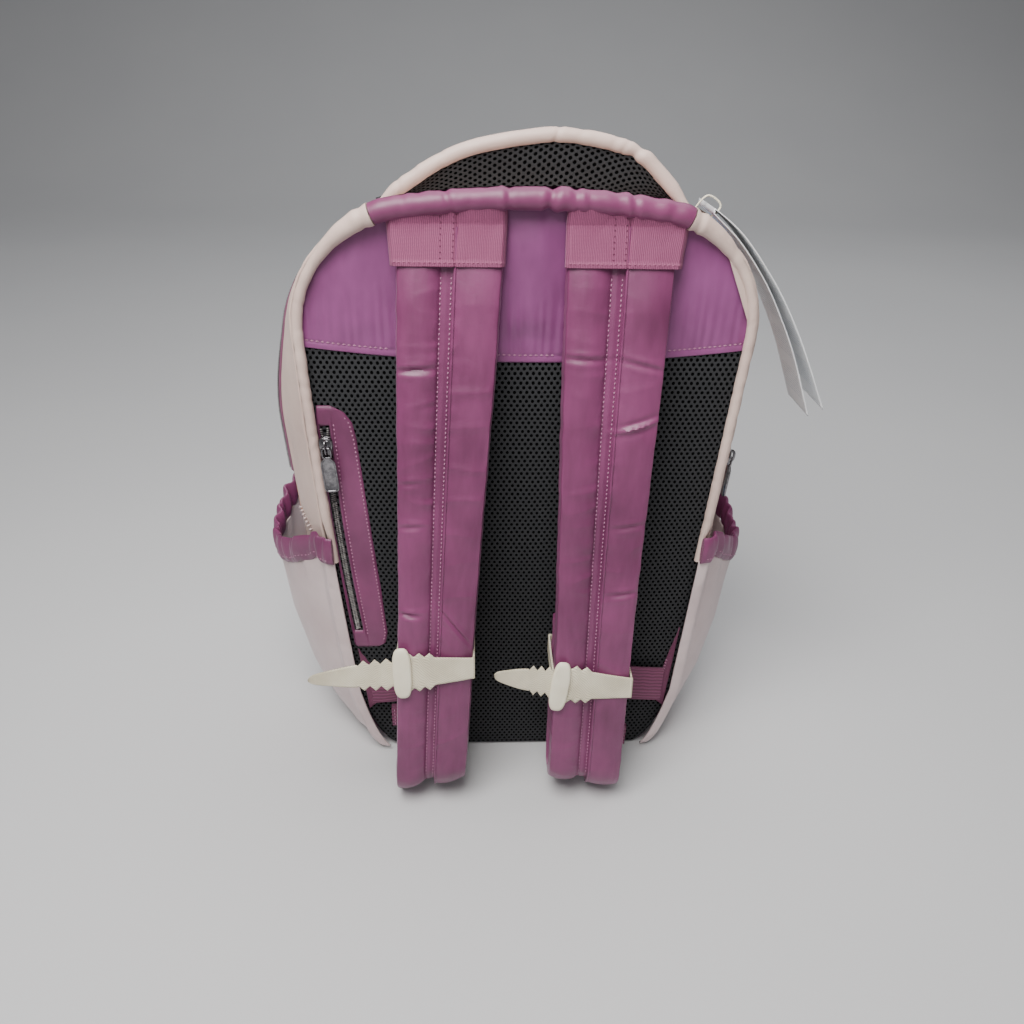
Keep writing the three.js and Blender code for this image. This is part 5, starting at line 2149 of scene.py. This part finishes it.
        band.sew(Cut(16, 300, 26, self.reach), tail)
        band.done(f"tie_band_{name}", thick=1.1)

        head = Piece(f"tie_{name}_head", self.body, "tie_plastic", TIE_SMOOTH)
        angle = self.tail_tilt * 0.6

        def cap(u: float, v: float) -> Triple:
            """Return a point of the head's domed face."""
            turn = 2 * math.pi * u
            reach = v if v < 0.8 else mix(0.8, 1.0, math.sin((v - 0.8) / 0.2 * math.pi / 2))
            cx = math.copysign(abs(math.cos(turn)) ** 0.62, math.cos(turn)) * 6.6 * reach
            cz = math.copysign(abs(math.sin(turn)) ** 0.72, math.sin(turn)) * 20.0 * reach
            dome = 2.1 if v < 0.8 else 2.1 * math.cos((v - 0.8) / 0.2 * math.pi / 2)
            dome += 0.5 * (1 - v * v)
            x = head_x + cx * math.cos(angle) - cz * math.sin(angle)
            dz = cz * math.cos(angle) + cx * math.sin(angle)
            return tuple(lean(x, dz, self.tie_tilt * 0.3, dome + 0.9))

        head.sew(Cut(72, 24, 60, 24), cap, wrap=True, away=None, outward=True)
        head.done(f"tie_head_{name}", thick=1.2)


# ---------- handle and tag ----------
@dataclass
class Handle:
    """The carrying handle: a mesh lining, a rolled blush edge and its end patches."""

    near: tuple = (
        (-89, 25, 420.5), (-77, 25, 430.5), (-53, 26, 445), (-30, 27, 453.5), (7, 28, 459.5),
        (28, 28, 459), (51, 28, 455), (66, 27, 449), (83, 25, 434), (93, 22, 422.5),
    )
    far: tuple = (
        (-92, 32, 423), (-77, 33, 425.6), (-53, 32, 427.6), (-30, 32, 428.4), (7, 32, 429),
        (28, 32, 428.8), (51, 32, 428), (66, 32, 427), (83, 33, 424.6), (93, 32, 421.8),
    )
    radius: float = 4.2

    def build(self) -> None:
        """Sew the handle."""
        near, far = Curve(self.near), Curve(self.far)

        def size(share: float) -> float:
            """Return the rolled edge's radius."""
            return mix(2.8, self.radius, smooth(min(share, 1 - share) * 14))

        def lining(u: float, v: float) -> Triple:
            """Return a point of the closed lining, u round its section."""
            a, b = near.at(v), far.at(v)
            across = (b - a).normalized()
            face = near.along(v).cross(across).normalized()
            thick = mix(2.0, 4.6, smooth(min(v, 1 - v) * 6))
            turn = 2 * math.pi * u
            width = (b - a).length
            start = size(v) * 0.6
            share = 0.5 - 0.5 * clamp(math.cos(turn) * 1.15, -1, 1)
            swell = thick / 2 * math.copysign(abs(math.sin(turn)) ** 0.5, math.sin(turn))
            dent = 0.7 * ripple(v * 9, share * 2, 61)
            return tuple(a + across * mix(start, width, share) + face * (swell + dent))

        band = Piece("handle_lining", "handle", "spacer_mesh", NET)
        band.sew(Cut(56, 200, 90, near.length), lining, wrap=True, caps=True, away=None)
        band.done("handle_band", fill=0.5)

        rng = random.Random(77)
        folds = [(0.79, 0.2, 0.014)] + [
            (
                rng.uniform(0.05, 0.95), rng.uniform(0.03, 0.08), rng.uniform(0.006, 0.012)
            ) for _ in range(13)
        ]

        def radius(u: float, v: float) -> float:
            """Return the creased radius of the rolled edge."""
            swell = 1 + 0.05 * ripple(v * 14, u * 4, 63)
            slant = 0.008 * math.cos(2 * math.pi * u)
            for at, depth, width in folds:
                swell -= depth * (
                    bell(v + slant, at, width) - 0.4 * bell(v + slant, at + 2.2 * width, width)
                )
            return size(v) * swell

        roll = Piece("handle_edge", "handle", "blush_nylon", BLUSH)
        roll.tube(near.at, radius, 26, 220, near.length, flat=1.0, up=(0, -1, 0))
        roll.done("handle_roll", fill=0.6)

        for side, first, last in (("right", 46 / 56, 49 / 56), ("left", 63 / 56, 66 / 56)):
            patch = Piece(f"handle_{side}_patch", "bag", "grosgrain", GROSGRAIN, PLUM_THREAD)

            def cloth(u: float, v: float, first: float = first, last: float = last) -> Triple:
                """Return a point of the patch on the top seam."""
                edge = smooth(min(u, 1 - u, v, 1 - v) * 14)
                return OUTLINE.skin(mix(first, last, v), mix(0.04, 0.25, u), 1.0 + 0.8 * edge)

            patch.sew(Cut(30, 30, 26, 26), cloth)
            for v in (0.14, 0.86):
                row = seam_stitches(
                    lambda s, v=v: Vector(cloth(mix(0.1, 0.9, s), v)), 24, Vector((0, 0, 1)), 2.6
                )
                patch.thread(row, 1)
            patch.done(f"handle_patch_{side}", thick=1.0)


@dataclass
class HangTag:
    """A blank folded card on a thin loop."""

    spans: tuple = (
        (196, 287), (178, 329), (163, 357), (149, 379), (130, 402), (112.6, 417.2), (111.2, 419.4),
        (113, 420.8), (132, 406.4), (152.5, 383), (168, 361.6), (185, 333), (206, 292),
    )
    width: float = 40.0
    y: float = 42.0

    def build(self) -> None:
        """Fold the card and tie the loop."""
        curve = Curve([(x, self.y, z) for x, z in self.spans])
        card = Piece("tag_card_sheet", "hang_tag", "card", PAPER)

        def sheet(u: float, v: float) -> Triple:
            """Return a point of the folded card."""
            p = curve.at(v)
            bow = 0.5 * math.sin(math.pi * u) * math.sin(2 * math.pi * v)
            return p.x + bow, p.y + mix(-self.width / 2, self.width / 2, u), p.z

        card.sew(Cut(16, 160, self.width, curve.length), sheet, away=(165, 42, 300))
        card.done("hang_tag", thick=0.6)
        ring = (
            (103.5, 411.4), (110.5, 412.4), (117.5, 415.2), (120, 421),
            (111.5, 426), (104.5, 418.6), (103.5, 411.4),
        )
        loop = Curve([(x, self.y, z) for x, z in ring])
        string = Piece("tag_string", "bag", "tie_plastic", TIE_SMOOTH)
        string.tube(lambda v: loop.at(v % 1), 0.6, 8, 90, loop.length, loop=True, up=(0, 1, 0))
        string.done("tag_loop")


# ---------- the studio ----------
@dataclass
class Studio:
    """The floor, the light and the camera."""

    spot: Triple = (-0.030, -0.5591, 0.5049)
    yaw: float = math.radians(2.67)
    pitch: float = math.radians(30.36)
    roll: float = math.radians(1.31)
    lens: float = 28.125

    def camera(self) -> None:
        """Set up the camera."""
        data = bpy.data.cameras.new("camera")
        data.lens, data.sensor_width = self.lens, 36.0
        data.clip_start, data.clip_end = 0.01, 50
        eye = bpy.data.objects.new("camera", data)
        bpy.context.scene.collection.objects.link(eye)
        ahead = Vector(
            (
                math.sin(self.yaw) * math.cos(self.pitch),
                math.cos(self.yaw) * math.cos(self.pitch),
                -math.sin(self.pitch),
            )
        )
        right = Vector((math.cos(self.yaw), -math.sin(self.yaw), 0))
        up = right.cross(ahead)
        c, s = math.cos(self.roll), math.sin(self.roll)
        turned = (c * right + s * up, -s * right + c * up, -ahead)
        eye.matrix_world = Matrix.Translation(self.spot) @ Matrix(turned).transposed().to_4x4()
        bpy.context.scene.camera = eye

    def lamp(
        self, name: str, spot: Triple, aim: Triple, size: float, power: float, colour: Colour
    ) -> None:
        """Hang a soft square light."""
        data = bpy.data.lights.new(name, "AREA")
        data.size, data.energy, data.color = size, power, colour
        lamp = bpy.data.objects.new(name, data)
        lamp.location = spot
        lamp.rotation_euler = (Vector(aim) - Vector(spot)).to_track_quat("-Z", "Y").to_euler()
        bpy.context.scene.collection.objects.link(lamp)

    def floor(self) -> None:
        """Lay a plain pale floor."""
        bench = Bench("floor_paper")
        cloud = bench.cloud(bench.place(), 3.0)
        paper = bench.dress(
            Base_Color=bench.dye(
                cloud, (0.60, 0.60, 0.61), (0.64, 0.64, 0.64)
            ), Roughness=cloud * 0.1 + 0.8
        )
        bm = bmesh.new()
        bmesh.ops.create_grid(bm, x_segments=1, y_segments=96, size=8)
        for vert in bm.verts:
            rise = max(vert.co.y - 2.2, 0)
            vert.co.z = 0.55 * rise**2 / (1 + 0.35 * rise)
        for face in bm.faces:
            face.smooth = True
        mesh = bpy.data.meshes.new("floor")
        bm.to_mesh(mesh)
        bm.free()
        mesh.materials.append(paper)
        ground = bpy.data.objects.new("floor", mesh)
        ground.location.z = -0.001
        bpy.context.scene.collection.objects.link(ground)

    def build(self) -> None:
        """Set up everything round the bag."""
        self.camera()
        self.floor()
        self.lamp("key", (-0.20, -0.46, 1.02), (0, -0.05, 0.36), 0.55, 15, (1.0, 0.98, 0.96))
        self.lamp("panel", (-0.3, -2.2, 1.15), (0, 0, 0.3), 1.7, 9, (1.0, 0.97, 0.99))
        self.lamp("sky", (0.4, 1.0, 2.4), (0, 0.9, 0), 2.4, 36, (0.97, 0.98, 1.0))
        world = bpy.data.worlds.new("room")
        world.use_nodes = True
        sky = world.node_tree.nodes["Background"]
        sky.inputs[0].default_value = (0.90, 0.91, 0.94, 1)
        sky.inputs[1].default_value = 0.16
        bpy.context.scene.world = world


def main() -> None:
    """Build the studio and the bag."""
    logging.basicConfig(level=logging.INFO, format="%(message)s")
    Studio().build()
    Back().build()
    Rims().build()
    Walls().build()
    MainZip().build()
    BackPocket().build()
    RacketPocket().build()
    for side in Side:
        BottlePocket(side).build()
    Strap(Side.LEFT, -46.3, -67, 0.97, 127, 0.09, 0.04, 66, LEFT_CREASES).build()
    Strap(Side.RIGHT, 52.2, 48.7, 1.0, 114, -0.09, -0.2, 48, RIGHT_CREASES).build()
    Handle().build()
    HangTag().build()


LEFT_CREASES = (
    (334, -0.32, 0.16, 1.8, 0.05),
    (168, -0.35, 0.12, 2.0, -0.1),
    (232, -0.34, 0.13, 1.1, 0.05),
    (262, -0.36, 0.10, 0.9, 0.1),
    (158, 0.24, 0.2, 1.5, -1.1),
)
RIGHT_CREASES = (
    (341, -0.28, 0.2, 1.4, -0.05),
    (337, 0.30, 0.2, 1.2, -0.25),
    (300, 0.28, 0.2, -2.3, 0.30),
    (232, 0.30, 0.16, 1.1, 0.15),
    (183, 0.30, 0.16, 1.4, 0.1),
)

if __name__ == "__main__":
    main()
